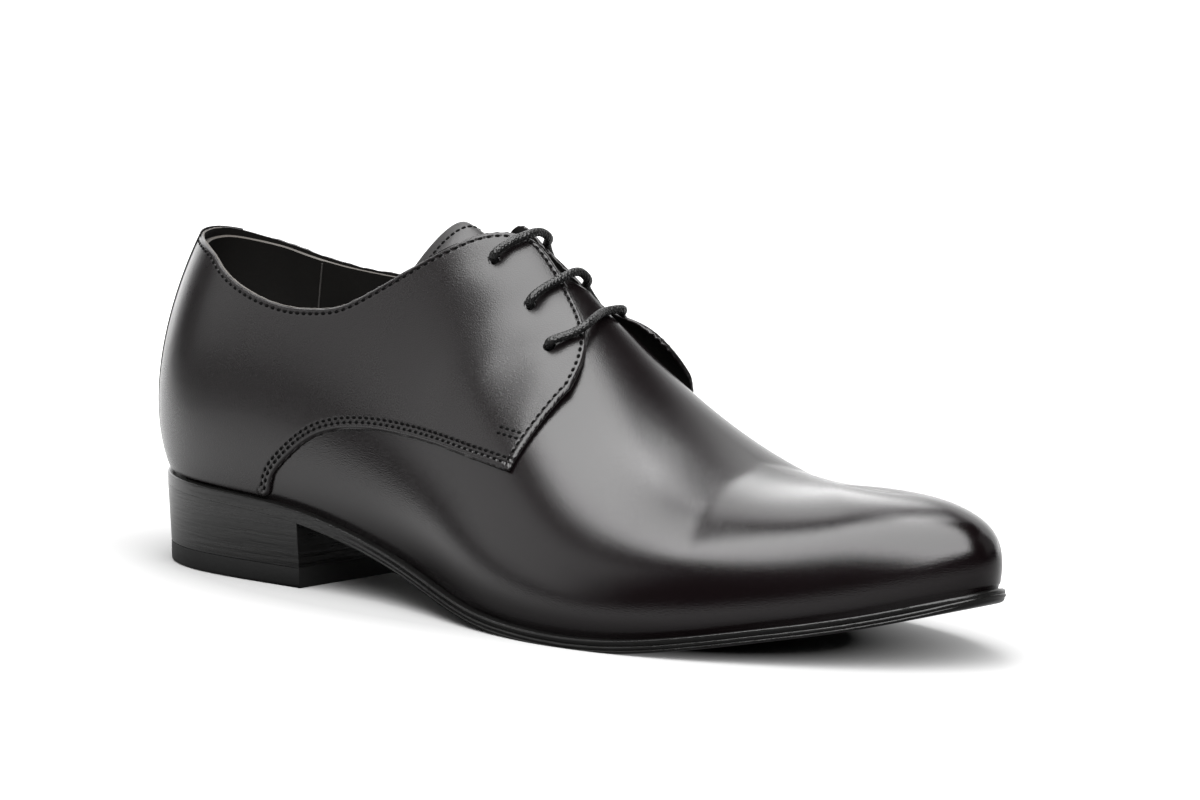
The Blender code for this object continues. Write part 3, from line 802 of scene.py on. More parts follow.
# Flaps that stand off the vamp: side, first station, last station, lift under the edge, lift over it
FLAPS = {-1: (138, 158, 1.85, 2.2), 1: (142, 164, 3.65, 4.0)}
FLAP_RISES = (0.46, 0.68)
QUARTER_STEP = 1.2
QUARTER_SEAT = 0.06
# Troughs that the lace pulls into the leather behind each eyelet, one broad hollow below each facing and,
# with a negative depth, the low ridge under the lateral hollow:
# side, station, rise, last station, last rise, half width, depth at the first end, depth at the last
CREASES = (
    (-1, 118.5, 0.777, 109.0, 0.640, 4.5, 0.35, 0.0),
    (-1, 136.4, 0.764, 124.0, 0.540, 5.0, 0.50, 0.0),
    (-1, 150.2, 0.719, 133.0, 0.530, 5.0, 0.40, 0.0),
    (-1, 128.0, 0.590, 157.0, 0.640, 10.0, 0.4, 0.85),
    (-1, 130.0, 0.440, 158.0, 0.470, 8.0, -0.4, -0.8),
    (1, 119.0, 0.705, 110.0, 0.580, 4.5, 0.35, 0.0),
    (1, 138.0, 0.695, 126.0, 0.500, 5.0, 0.50, 0.0),
    (1, 151.0, 0.670, 136.0, 0.490, 5.0, 0.50, 0.0),
    (1, 132.0, 0.560, 160.0, 0.600, 10.0, 0.4, 0.8),
)
# Millimetres taken for a whole rise, where the creases are measured
RISE_MM = 80.0


def creased(station, rise, side):
    """How far the listed troughs draw the quarter in."""
    drawn = np.zeros(np.broadcast(station, rise).shape)
    for at, first, first_rise, final, final_rise, half, first_depth, final_depth in CREASES:
        if at == side:
            run, climb = final - first, (final_rise - first_rise) * RISE_MM
            x, y = station - first, (rise - first_rise) * RISE_MM
            share = np.clip((x * run + y * climb) / (run**2 + climb**2), 0, 1)
            off = np.hypot(x - share * run, y - share * climb)
            depth = first_depth + (final_depth - first_depth) * smooth(0, 1, share)
            drawn = drawn + depth * np.exp(-((off / half) ** 2))
    return drawn


def quarter_lift(station, rise, side):
    """How far the quarter's under and outer faces stand off the last, rising where the flap is free."""
    first, final, under, over = FLAPS[side]
    free = smooth(first, final, station) * smooth(*FLAP_RISES, rise)
    drawn = tuck(rise) - creased(station, rise, side)
    return drawn + QUARTER_SEAT + under * free, drawn + QUARTER_STEP + over * free


def quarter_edges():
    """A curve over the quarters' rows, medial ones negative: bottom angle and rise, top angle and rise."""
    cut = np.array(QUARTERS, float)
    turn = angle_of(cut[:, [0, 1, 3, 5]])
    lateral = np.stack([turn[:, 0], cut[:, 2], turn[:, 2], cut[:, 4]], -1)
    medial = np.stack([-turn[:, 1], cut[:, 2], -turn[:, 3], cut[:, 6]], -1)
    reach = len(cut) - 1
    return Curve(np.arange(-reach, reach + 1), np.concatenate([medial[:0:-1], lateral])), reach


QUARTER_LINE, REACH = quarter_edges()
LOWEST_RISE = QUARTERS[0][2]
# The lower edge leaves the welt just past this row
HEM_START = 4.1


def quarter_place(row, across):
    """Angle and rise of a place on the quarters: a table row, and 0 at the lower edge to 1 at the upper."""
    line = QUARTER_LINE(row)
    low = np.maximum(line[..., 1], LOWEST_RISE)
    return line[..., 0] * (1 - across) + line[..., 2] * across, low * (1 - across) + line[..., 3] * across


def on_quarter(angle, rise, above=0.0):
    """A point of the quarter's outer face."""
    side_lift = np.where(
        angle < 0,
        quarter_lift(station_of(angle), rise, 1)[1],
        quarter_lift(station_of(angle), rise, -1)[1],
    )
    return last(angle, rise, side_lift + above)


# %% [markdown]
# ## Lines on the leather
# Stitches, edges and puckers all follow a line that is moved in from an edge by a known distance. The
# line is kept as angle and rise; the move is worked out on the surface itself, so a row 2 mm from the
# edge stays 2 mm from it round the tight corner of the flap as well as along the collar.


# %% A line moved in from an edge
def arc_length(points):
    return np.concatenate([[0], np.cumsum(np.linalg.norm(np.diff(points, axis=0), axis=1))])


def respaced(angle, rise, points, step):
    """The line read again at even steps along its length."""
    far = arc_length(points)
    at = np.linspace(0, far[-1], max(2, int(round(far[-1] / step)) + 1))
    return np.interp(at, far, angle), np.interp(at, far, rise)


def moved_in(angle, rise, inset, surface, side):
    """The line moved by inset to its left (side 1) or right (side -1), seen from outside."""
    angle, rise = respaced(angle, rise, surface(angle, rise), 0.6)
    points = surface(angle, rise)
    ahead = unit(np.gradient(points, axis=0))
    across = np.cross(last_normal(angle, rise), ahead) * side * inset
    small = 1e-3
    by_angle = (bare_last(angle + small, rise) - bare_last(angle - small, rise)) / (2 * small)
    by_rise = (bare_last(angle, rise + small) - bare_last(angle, rise - small)) / (2 * small)
    pairs = (by_angle, by_angle), (by_angle, by_rise), (by_rise, by_rise)
    aa, ab, bb = ((p * q).sum(-1) for p, q in pairs)
    ca, cb = (across * by_angle).sum(-1), (across * by_rise).sum(-1)
    size = aa * bb - ab * ab
    return angle + (ca * bb - cb * ab) / size, rise + (cb * aa - ca * ab) / size


def top_edge(count=900, front=80):
    """The quarters' free edge: up the medial front, round the collar and down the lateral front."""
    climb = np.linspace(0, 1, front)
    row = np.linspace(-REACH, REACH, count)
    rows = np.concatenate([np.full(front - 1, -REACH), row, np.full(front - 1, REACH)])
    across = np.concatenate([climb[:-1], np.ones(count), climb[-2::-1]])
    return quarter_place(rows, across)


def lower_edge(side, count=400):
    """The lower edge of one quarter, from the welt to its front corner."""
    row = np.linspace(HEM_START, REACH, count) * -side
    return quarter_place(row, np.zeros(count))


# %% Quarter sheet, its edges rolled to a small radius
ROLL = 0.95
# How strongly the sheet's rows crowd towards its two edges
CROWDING = 0.14
# The lateral collar's cut edge is painted pale up to this station, a painted highlight along the near rim;
# faces of the edge this near to it get that look
COLLAR_END, HIGHLIGHT_REACH = 92.0, 1.5
CUT_LOOK, PAINTED_HIGHLIGHT_LOOK = 1, 3
LINE_STEP = 0.4
edge_angle, edge_rise = top_edge()
edge_line = on_quarter(*respaced(edge_angle, edge_rise, on_quarter(edge_angle, edge_rise), LINE_STEP))
hem_lines = []
for side in (-1, 1):
    hem = lower_edge(side)
    hem_lines.append(on_quarter(*respaced(*hem, on_quarter(*hem), LINE_STEP)))


def tree_of(line):
    tree = KDTree(len(line))
    for i, point in enumerate(line):
        tree.insert(Vector(point), i)
    tree.balance()
    return tree


def quarter_grids(per_row=8, rows=80):
    row = np.linspace(-REACH, REACH, 2 * REACH * per_row + 1)[:, None]
    across = np.linspace(0, 1, rows + 1)[None, :]
    across = across - CROWDING * np.sin(2 * math.pi * across)
    angle, rise = quarter_place(np.broadcast_to(row, (row.size, across.size)), across)
    station = station_of(angle)
    medial = quarter_lift(station, rise, 1)
    lateral = quarter_lift(station, rise, -1)
    under, over = (np.where(row < 0, medial[k], lateral[k]) for k in (0, 1))
    edges = tree_of(np.concatenate([edge_line, *hem_lines]))
    away = [edges.find(Vector(point))[2] for point in last(angle, rise, over).reshape(-1, 3)]
    left = np.clip(ROLL - np.reshape(away, over.shape), 0, ROLL)
    over = over - (ROLL - np.sqrt(ROLL**2 - left**2))
    return last(angle, rise, over), last(angle, rise, under)


points, faces, looks = sheet_mesh(*quarter_grids())
collar_edge = tree_of(edge_line[(edge_line[:, 0] < COLLAR_END) & (edge_line[:, 1] < 0)])
# Faces of the lateral collar's cut edge get the pale finish, a painted highlight
for k, face in enumerate(faces):
    if looks[k] == CUT_LOOK and collar_edge.find(Vector(points[face].mean(0)))[2] < HIGHLIGHT_REACH:
        looks[k] = PAINTED_HIGHLIGHT_LOOK
quarter_looks = [quarter_calf, quarter_calf, lining, raw_edge_and_painted_highlight]
quarters = make_piece("quarters", points, faces, quarter_looks, ["upper"], looks)


# %% Distance from the seams, for the puckers
def measured(piece, name, line):
    """Stores each point's distance from a line and its way along it, in millimetres."""
    tree = tree_of(line)
    far, ahead = arc_length(line), unit(np.gradient(line, axis=0))
    away, along = [], []
    for vertex in piece.data.vertices:
        point = np.array(vertex.co) / MM + SHIFT
        i, distance = tree.find(Vector(point))[1:]
        away.append(distance)
        along.append(far[i] + float((point - line[i]) @ ahead[i]))
    for ending, values in (("_mm", away), ("_along", along)):
        store = piece.data.attributes.new(name + ending, "FLOAT", "POINT")
        store.data.foreach_set("value", values)


measured(quarters, "edge", edge_line)
measured(quarters, "hem", np.concatenate([hem_lines[0], hem_lines[1][::-1]]))
print("collar edge is", round(arc_length(edge_line)[-1]), "mm long")

# %% Punch the eyelets
# Lateral station, lateral rise, medial station, medial rise
EYELETS = (
    (118.5, 0.777, 119, 0.705),
    (136.4, 0.764, 138, 0.695),
    (150.2, 0.719, 151, 0.670),
)
EYELET_RADIUS = 1.75
# How far the punch reaches in and out from the leather
PUNCH_IN, PUNCH_OUT = 6, 4


def eyelet(row, side, beyond=0.0, above=0.0):
    """A point at an eyelet, or beyond it towards the throat, and the way out of the leather there."""
    station, rise = (row[0], row[1]) if side < 0 else (row[2], row[3])
    angle = np.asarray(-side * angle_of(station))
    rise = np.asarray(rise + beyond)
    return on_quarter(angle, rise, above), last_normal(angle, rise)


def tube_loops(path, radius, sides):
    """Loops of points round a path; the radius may change along it and round it."""
    ahead = unit(np.gradient(path, axis=0))
    side = unit(np.cross(ahead, (1.0, 0.2, 0.1)))
    other = np.cross(ahead, side)
    turn = np.linspace(0, 2 * math.pi, sides, endpoint=False)
    ring = np.cos(turn)[None, :, None] * side[:, None] + np.sin(turn)[None, :, None] * other[:, None]
    return path[:, None] + ring * np.broadcast_to(radius, ring.shape[:2])[..., None]


def tube_faces(count, sides):
    faces = []
    for k in range(count - 1):
        for i in range(sides):
            j = (i + 1) % sides
            faces.append((k * sides + i, k * sides + j, (k + 1) * sides + j, (k + 1) * sides + i))
    faces.append(tuple(range(sides)))
    faces.append(tuple(range((count - 1) * sides, count * sides)))
    return faces


def punch(piece):
    sides = 24
    points, faces = [], []
    for row in EYELETS:
        for side in (-1, 1):
            centre, out = eyelet(row, side)
            path = np.stack([centre - PUNCH_IN * out, centre, centre + PUNCH_OUT * out])
            loops = tube_loops(path, EYELET_RADIUS, sides)
            start = len(points) * len(path) * sides
            points.append(loops.reshape(-1, 3))
            faces += [tuple(start + k for k in face) for face in tube_faces(len(path), sides)]
    tool = linked("punch", outward_mesh("punch", np.concatenate(points), faces, [cut_edge]))
    cut = piece.modifiers.new("eyelets", "BOOLEAN")
    cut.operation = "DIFFERENCE"
    cut.object = tool
    bpy.context.view_layer.update()
    made = bpy.data.meshes.new_from_object(piece.evaluated_get(bpy.context.evaluated_depsgraph_get()))
    piece.modifiers.clear()
    piece.data = made
    bpy.data.objects.remove(tool)
    print("punched", len(EYELETS) * 2, "eyelets,", len(made.polygons), "faces")


punch(quarters)

# %% [markdown]
# ## The back strip
# A strip of the same calf covers the seam at the back of the heel, from the welt to the collar. It is
# one more patch of the last, laid on the quarters, and wider on the lateral side, where the photo shows
# its edge.

# %% Back strip
# Height of its two faces over the quarters, its reach as an angle on each side, and its lowest rise
STRIP_STEP, STRIP_SEAT = 0.30, 0.03
STRIP_LATERAL, STRIP_MEDIAL = 0.315, 0.17
STRIP_LOW = 0.015


def strip_grids(columns=40, rows=80):
    across = np.linspace(-1, 1, columns + 1)[:, None]
    share = np.linspace(0, 1, rows + 1)[None, :]
    angle = across * np.where(across > 0, STRIP_LATERAL, STRIP_MEDIAL)
    angle = np.broadcast_to(angle, (columns + 1, rows + 1))
    collar = QUARTER_LINE(np.linspace(-2, 2, 41))
    top = np.interp(angle, collar[:, 2], collar[:, 3])
    rise = STRIP_LOW + (top - STRIP_LOW) * share
    return on_quarter(angle, rise, STRIP_STEP), on_quarter(angle, rise, STRIP_SEAT)


points, faces, looks = sheet_mesh(*strip_grids())
make_piece("back_strip", points, faces, [calf, cut_edge, lining], ["upper"], looks)

# %% [markdown]
# ## Stitches
# Each stitch is a short bow of thread that comes out of one needle hole and goes into the next. They
# could be a texture, but at this distance their dark ends and small highlights are what makes a seam
# look sewn. All stitches of a row are copies of one little bow, placed with arrays and joined into one
# mesh.

# %% Rows of stitches
# Half the thread's width, how flat it lies, the stitch's share of its pitch and how deep its ends dip
THREAD_HALF, THREAD_FLAT, STITCH_SHARE, STITCH_DIP = 0.45, 0.55, 0.74, 0.32
# How far the rows stop short of the front corners
COLLAR_CLEAR, HEM_CLEAR = 1.5, COLLAR_ROW + 0.4


def stitch_bow(rings=7, sides=8):
    """Points of one stitch: along, across and up, with both ends dipping into the leather."""
    along = np.linspace(-1, 1, rings)
    fat = np.sqrt(np.clip(1.02 - along**2, 0, 1))[:, None]
    turn = np.linspace(0, 2 * math.pi, sides, endpoint=False)[None, :]
    x = np.broadcast_to(along[:, None] * STITCH_PITCH * STITCH_SHARE / 2, (rings, sides))
    y = fat * np.cos(turn) * THREAD_HALF
    z = fat * np.sin(turn) * THREAD_HALF * THREAD_FLAT - STITCH_DIP * along[:, None] ** 4
    return np.stack([x, y, z], -1).reshape(-1, 3), tube_faces(rings, sides)


def read_at(at, far, values):
    """Rows of three numbers, read between the places where they are known."""
    return np.stack([np.interp(at, far, values[:, k]) for k in range(3)], -1)


def stitch_row(path, normals, pitch):
    """Points and faces of a row of stitches along a path on the leather."""
    far = arc_length(path)
    count = max(1, int(far[-1] / pitch))
    at = (np.arange(count) + 0.5) * far[-1] / count
    centre = read_at(at, far, path)
    up = unit(read_at(at, far, normals))
    ahead = unit(read_at(at, far, np.gradient(path, axis=0)))
    across = np.cross(up, ahead)
    bow, faces = stitch_bow()
    frame_of = np.stack([ahead, across, up], 1)
    points = centre[:, None] + np.einsum("pk,nkd->npd", bow, frame_of)
    repeated = [tuple(n * len(bow) + k for k in face) for n in range(count) for face in faces]
    return points.reshape(-1, 3), repeated


def sewn(name, rows, nodes, pitch=STITCH_PITCH):
    points, faces, start = [], [], 0
    for path, normals in rows:
        more, more_faces = stitch_row(path, normals, pitch)
        points.append(more)
        faces += [tuple(start + k for k in f) for f in more_faces]
        start += len(more)
    return make_piece(name, np.concatenate(points), faces, [thread], nodes, sharp=80)


def quarter_row(angle, rise, inset, side):
    angle, rise = moved_in(angle, rise, inset, on_quarter, side)
    return on_quarter(angle, rise), last_normal(angle, rise)


collar_path, collar_normals = quarter_row(edge_angle, edge_rise, COLLAR_ROW, -1)
front_clear = np.minimum(arc_length(collar_path), arc_length(collar_path[::-1])[::-1]) > COLLAR_CLEAR
sewn("collar_stitches", [(collar_path[front_clear], collar_normals[front_clear])], ["upper"])

hem_rows = []
for side in (-1, 1):
    for inset in HEM_ROWS:
        path, normals = quarter_row(*lower_edge(side), inset, -side)
        clear = arc_length(path)[-1] - arc_length(path) > HEM_CLEAR
        hem_rows.append((path[clear], normals[clear]))
sewn("hem_stitches", hem_rows, ["upper"])

# %% Bar tacks that hold the front corners
# Side, first station, its rise, last station, its rise
BAR_TACKS = ((-1, 151.6, 0.456, 160.1, 0.481), (1, 157.0, 0.456, 165.2, 0.481))
BAR_SPACING, BAR_PITCH = 0.016, 1.7
bar_rows = []
for side, first, first_rise, final, final_rise in BAR_TACKS:
    for shift in (0, BAR_SPACING):
        angle = np.linspace(-side * angle_of(first), -side * angle_of(final), 40)
        rise = np.linspace(first_rise, final_rise, 40) + shift
        bar_rows.append((on_quarter(angle, rise), last_normal(angle, rise)))
sewn("bar_tacks", bar_rows, ["upper"], BAR_PITCH)

# %% Seam of the lining's heel piece, one thin ridge a side
# Radius, how far it stands off the lining and behind the seam, its lowest rise, and how far it ends
# below the rim
SEAM_RADIUS, SEAM_STAND, SEAM_BACK, SEAM_LOW, SEAM_SHORT = 0.25, 0.15, 0.8, 0.06, 0.004
for side, label in ((-1, "lateral"), (1, "medial")):
    rim = opening_rise(np.float64(LINING_SEAM), side, LINING_TRIM)
    rise = np.linspace(SEAM_LOW, rim - SEAM_SHORT, 90)
    angle = np.full(rise.size, -side * angle_of(LINING_SEAM - SEAM_BACK))
    path = last(angle, rise, lining_inside(station_of(angle), rise, side) - SEAM_STAND)
    loops = tube_loops(path, SEAM_RADIUS, 8)
    points, faces = loops.reshape(-1, 3), tube_faces(*loops.shape[:2])
    make_piece("lining_seam_" + label, points, faces, [lining_thread], ["upper"])

# %% [markdown]
# ## The tongue
# Under the flaps lies the tongue, a roofed strip of calf whose top edge shows above the collar, cut in
# a sweep and sewn a few millimetres below. It keeps its own short table, because it floats free of the
# last.

# %% Tongue
# x, y of its middle, height of its middle, half width, pitch of its sides
TONGUE = (
    (103, -1.6, 104.0, 16, 0.78),
    (110, -0.6, 103.2, 14.6, 0.80),
    (118, 0.4, 99.4, 12.6, 0.82),
    (126, 2.0, 95.4, 11.2, 0.84),
    (135, 3.4, 90.2, 10.5, 0.82),
    (145, 4.4, 83.6, 9.5, 0.74),
    (155, 5.2, 76.4, 9, 0.64),
    (165, 6.0, 69.4, 8.5, 0.54),
    (175, 6.5, 62.4, 8, 0.50),
)
TONGUE_LINE = table(TONGUE)
# How round its crest is, how much steeper its medial side falls, its thickness
TONGUE_CREST, TONGUE_TUCK, TONGUE_THICK = 3.0, 0.45, 1.5
# Where it is cut and how far the cut sweeps back; how much the lateral side leans near the cut, and where
TONGUE_TOP, TONGUE_SWEEP = 109.5, 5.5
TONGUE_LEAN, TONGUE_LEAN_X = 0.3, (103, 116)
# Its row of stitches: how far from the cut, how far across, and a close pitch, which reads as one line
TONGUE_ROW, ROW_REACH, TONGUE_PITCH = 3.4, 0.96, 1.8


def tongue_end(across):
    """Where the tongue is cut: furthest forward at its crest, then back along the lateral side."""
    return TONGUE_TOP - TONGUE_SWEEP * (1 - (1 + np.minimum(across, 0)) ** 2)


def on_tongue(x, across):
    row = TONGUE_LINE(x)
    y = across * row[..., 2]
    fall = row[..., 3] * (np.sqrt(y**2 + TONGUE_CREST**2) - TONGUE_CREST)
    fall = fall + TONGUE_TUCK * np.maximum(y, 0) * smooth(*ROOF_START, x)
    fall = fall + TONGUE_LEAN * np.maximum(-y, 0) * (1 - smooth(*TONGUE_LEAN_X, x))
    return np.stack(np.broadcast_arrays(x, y + row[..., 0], row[..., 1] - fall), -1)


def tongue_normal(x, across):
    small = 1e-3
    along = on_tongue(x + small, across) - on_tongue(x - small, across)
    wide = on_tongue(x, across + small) - on_tongue(x, across - small)
    return unit(np.cross(along, wide))


tongue_share, tongue_across = np.meshgrid(np.linspace(0, 1, 90), np.linspace(-1, 1, 60), indexing="ij")
tongue_x = tongue_end(tongue_across) * (1 - tongue_share) + TONGUE[-1][0] * tongue_share
tongue_top = on_tongue(tongue_x, tongue_across)
tongue_under = tongue_top - tongue_normal(tongue_x, tongue_across) * TONGUE_THICK
points, faces, looks = sheet_mesh(tongue_top, tongue_under)
make_piece("tongue_leather", points, faces, [tongue_calf, cut_edge, lining], ["tongue"], looks)
row_across = np.linspace(-ROW_REACH, ROW_REACH, 120)
row_x = tongue_end(row_across) + TONGUE_ROW
tongue_row = (on_tongue(row_x, row_across), tongue_normal(row_x, row_across))
sewn("tongue_stitches", [tongue_row], ["tongue"], TONGUE_PITCH)

# %% [markdown]
# ## Welt, sole and heel
# The sole's edge is a stack: the welt on top, the leather sole below, each trimmed to a small bead with
# a groove between, and at the heel both run flush into the stacked lifts. Each is a loop of the outline
# repeated at a list of insets and drops, the way a trimming wheel cuts the profile all round.

# %% Loops of the sole
HEEL_LENGTH, TOP_PIECE, SOLE_EDGE = 75.0, 5.7, 4.0
WELT_BAND = 10.0
SOLE_COLUMNS = 300
# Stations where the profile changes from the heel's to the forefoot's, and where the tip of the toe
# starts and ends
PROFILE_CHANGE, TIP_STATIONS = (76, 128), (284, 296)
# At the tip: how far the top and foot of the edge are rounded off, its middle, and how far its beads
# are levelled
TIP_ROUND, TIP_MIDDLE, TIP_LEVEL, TIP_BEAD = 1.3, 2.0, 0.4, 0.5
# Inset and drop at the forefoot, then at the heel
WELT_PROFILE = (
    (WELT_BAND, 0.30, WELT_BAND, 0.30),
    (2.6, 0.30, 2.4, 0.30),
    (0.75, 0.28, 0.9, 0.29),
    (0.32, 0.36, 0.5, 0.33),
    (0.10, 0.55, 0.3, 0.50),
    (0.02, 0.85, 0.25, 0.85),
    (0.08, 1.15, 0.25, 1.15),
    (0.26, 1.42, 0.25, 1.40),
    (0.36, 1.62, 0.25, 1.70),
    (0.42, 1.78, 0.25, 1.95),
    (1.3, 1.82, 0.40, 2.05),
    (WELT_BAND, 1.84, WELT_BAND, 2.05),
)
SOLE_PROFILE = (
    (WELT_BAND + 0.5, 0.30, WELT_BAND + 0.5, 0.30),
    (WELT_BAND + 0.5, 1.88, WELT_BAND + 0.5, 1.90),
    (1.3, 1.88, 0.5, 1.90),
    (0.42, 1.88, 0.27, 1.92),
    (0.22, 2.02, 0.27, 2.10),
    (0.07, 2.26, 0.27, 2.30),
    (0.02, 2.50, 0.27, 2.50),
    (0.12, 2.76, 0.27, 2.75),
    (0.30, 2.93, 0.27, 2.95),
    (0.32, 3.02, 0.27, 3.05),
    (0.14, 3.16, 0.27, 3.20),
    (0.03, 3.38, 0.27, 3.40),
    (0.07, 3.62, 0.27, 3.65),
    (0.30, 3.84, 0.28, 3.85),
    (0.8, 3.98, 0.5, 4.00),
    (3.0, 4.00, 3.0, 4.00),
)


def sole_loop(angle, inset, drop):
    x, y = outline(angle, inset)
    return np.stack([x, y, np.maximum(FEATHER_LINE(x)[..., 0] - drop, 0.0)], -1)


def profile_loops(angle, profile):
    """Loops of one profile, which is trimmed rounder at the tip of the toe."""
    station = station_of(angle)
    forefoot, tip = smooth(*PROFILE_CHANGE, station), smooth(*TIP_STATIONS, station)
    loops = []
    for front_inset, front_drop, heel_inset, heel_drop in profile:
        inset = front_inset * forefoot + heel_inset * (1 - forefoot)
        drop = front_drop * forefoot + heel_drop * (1 - forefoot)
        rounded = TIP_ROUND * ((drop - TIP_MIDDLE) / TIP_MIDDLE) ** 2
        inset = inset + tip * (rounded - TIP_LEVEL * min(front_inset, TIP_BEAD))
        loops.append(sole_loop(angle, inset, drop))
    return loops


def loop_mesh(loops, pairs=None):
    """Points and faces of stacked loops: capped by strips across, or closed back onto the first loop."""
    count = len(loops[0])
    faces = []
    for k in range(len(loops) if pairs is None else len(loops) - 1):
        near, far = k * count, (k + 1) % len(loops) * count
        faces += [(near + i, near + (i + 1) % count, far + (i + 1) % count, far + i) for i in range(count)]
    if pairs is not None:
        for start in (0, (len(loops) - 1) * count):
            for (a, b), (c, d) in zip(pairs[:-1], pairs[1:]):
                faces.append([start + k for k in dict.fromkeys((a, c, d, b))])
    return np.concatenate(loops), faces


whole = np.linspace(0, 2 * math.pi, 2 * SOLE_COLUMNS, endpoint=False)
whole_pairs = [(k, -k % (2 * SOLE_COLUMNS)) for k in range(SOLE_COLUMNS + 1)]
points, faces = loop_mesh(profile_loops(whole, WELT_PROFILE))
make_piece("welt_edge", points, faces, [sole_edge], ["welt"])
points, faces = loop_mesh(profile_loops(whole, SOLE_PROFILE), whole_pairs)
make_piece("sole_leather", points, faces, [sole_edge], ["outsole"])

# %% Heel lifts and rubber top piece
HEEL_COLUMNS, LIFTS = 120, 5
# Insets of the heel's top and foot, how far it laps into the sole, and the groove over the rubber
HEEL_TOP_INSET, HEEL_FOOT_INSET, HEEL_LAP, HEEL_GROOVE = 0.26, 1.2, 0.1, 0.1
heel_edge = float(angle_of(HEEL_LENGTH))
heel_turn = np.linspace(heel_edge, -heel_edge, 2 * HEEL_COLUMNS + 1)
heel_pairs = [(HEEL_COLUMNS - k, HEEL_COLUMNS + k) for k in range(HEEL_COLUMNS + 1)]


def heel_loop(share):
    """A loop of the heel, from under the sole (0) to the top of the rubber (1)."""
    top = sole_loop(heel_turn, HEEL_TOP_INSET, SOLE_EDGE - HEEL_LAP)
    foot_x, foot_y = outline(heel_turn, HEEL_FOOT_INSET)
    foot = np.stack([foot_x, foot_y, np.full_like(foot_x, TOP_PIECE + HEEL_GROOVE)], -1)
    return top * (1 - share) + foot * share


lift_loops = [heel_loop(share) for share in np.linspace(0, 1, LIFTS + 1)]
points, faces = loop_mesh(lift_loops, heel_pairs)
make_piece("heel_lifts", points, faces, [sole_edge], ["heel_stack"], sharp=60)

# Inset and height of the rubber's loops
RUBBER_PROFILE = (
    (1.6, TOP_PIECE),
    (1.25, TOP_PIECE - 0.1),
    (1.18, TOP_PIECE - 0.4),
    (1.2, 0.9),
    (1.35, 0.3),
    (1.8, 0.0),
)
rubber_loops = []
for inset, height in RUBBER_PROFILE:
    x, y = outline(heel_turn, inset)
    rubber_loops.append(np.stack([x, y, np.full_like(x, height)], -1))
points, faces = loop_mesh(rubber_loops, heel_pairs)
make_piece("rubber_top_piece", points, faces, [rubber], ["heel_top_piece"], sharp=50)

# %% Sock over the insole
INSOLE_THICK, SOCK_GAP = 2.0, 0.5
# Inset and drop of the sock's loops
SOCK_PROFILE = (
    (0.4, 0.0),
    (0.0, -0.4),
    (0.0, 0.6 - INSOLE_THICK),
    (0.3, 0.15 - INSOLE_THICK),
    (1.2, -INSOLE_THICK),
)
sock_inset = FEATHER_LINE(station_of(whole))[..., 1] + WALL + SOCK_GAP
sock_loops = [sole_loop(whole, sock_inset + inset, drop) for inset, drop in SOCK_PROFILE]
points, faces = loop_mesh(sock_loops, whole_pairs)
make_piece("sock_leather", points, faces, [sock], ["insole"])

# %% [markdown]
# ## The lace
# A waxed round cord, braided from strands that cross both ways. Three bars show, each out of one
# eyelet, over the gap between the flaps and into the eyelet opposite, and their ends stop behind the
# leather. A plain tube would look like wire, so its radius follows the strands: the higher of two sets
# of helices is on top.

# %% Braided bars
LACE_RADIUS, STRANDS, BRAID_PITCH, BRAID_DEPTH = 1.25, 6, 7.0, 0.24
# How each bar drapes, in millimetres: at the first bend, the lateral edge, the crown and the medial edge
LACE_DRAPE = np.array(
    [
        [(0, 0, 0), (0, 0, 0), (0.3, 0, 2.2), (0, -2.5, 2.5)],
        [(0, 0, 0), (0, 0, 0), (0.3, 0, 3.2), (0, -3.8, 3.4)],
        [(1.8, -1.0, -2.0), (3.5, -2.0, -2.5), (0.3, 0, 0.5), (0, -3.0, 1.0)],
    ]
)
# From the medial edge the bar turns back, away from the camera
LACE_TURN = np.array([-3.1, 2.6, -2.1])
LACE_NODES = ("lace_bar_top", "lace_bar_middle", "lace_bar_bottom")
# Heights of its ends over the eyelet, from behind the leather to in front of it, and its middle's over
# the flaps
LACE_ENDS, LACE_CLEAR = (-1.7, -0.6, 1.3), LACE_RADIUS + 0.6
# Rises beyond the eyelet of the first bend, the lateral edge, the medial edge and the last bend
FIRST_BEND, LATERAL_EDGE, MEDIAL_EDGE, LAST_BEND = 0.06, 0.14, 0.19, 0.08


def lace_path(row, drape, steps):
    """The lace's middle line from inside the lateral eyelet to inside the medial one."""
    (left, left_out), (right, right_out) = eyelet(row, -1), eyelet(row, 1)
    left_edge = eyelet(row, -1, LATERAL_EDGE, LACE_CLEAR)[0]
    right_edge = eyelet(row, 1, MEDIAL_EDGE, LACE_CLEAR)[0]
    knots = np.stack(
        [
            *(left + height * left_out for height in LACE_ENDS),
            eyelet(row, -1, FIRST_BEND, LACE_CLEAR)[0] + drape[0],
            left_edge + drape[1],
            (left_edge + right_edge) / 2 + drape[2],
            right_edge + drape[3],
            right_edge + drape[3] + LACE_TURN,
            eyelet(row, 1, LAST_BEND, LACE_RADIUS)[0],
            *(right + height * right_out for height in LACE_ENDS[::-1]),
        ]
    )
    far = arc_length(knots)
    return Curve(far, knots)(np.linspace(0, far[-1], steps))


def braided(path, sides=48):
    along = arc_length(path)[:, None] * 2 * math.pi / BRAID_PITCH
    turn = np.linspace(0, 2 * math.pi, sides, endpoint=False)[None, :]
    one = np.cos(STRANDS * (turn + along) / 2) ** 2
    other = np.cos(STRANDS * (turn - along) / 2) ** 2
    height = np.maximum(one, other * 0.97)
    return tube_loops(path, LACE_RADIUS - BRAID_DEPTH * (1 - height), sides)


for node, row, drape in zip(LACE_NODES, EYELETS, LACE_DRAPE):
    path = lace_path(row, drape, 260)
    loops = braided(path)
    faces = tube_faces(*loops.shape[:2])
    make_piece(node + "_braid", loops.reshape(-1, 3), faces, [waxed], [node], sharp=80)
    print(node, "lace length", round(arc_length(path)[-1], 1), "mm")

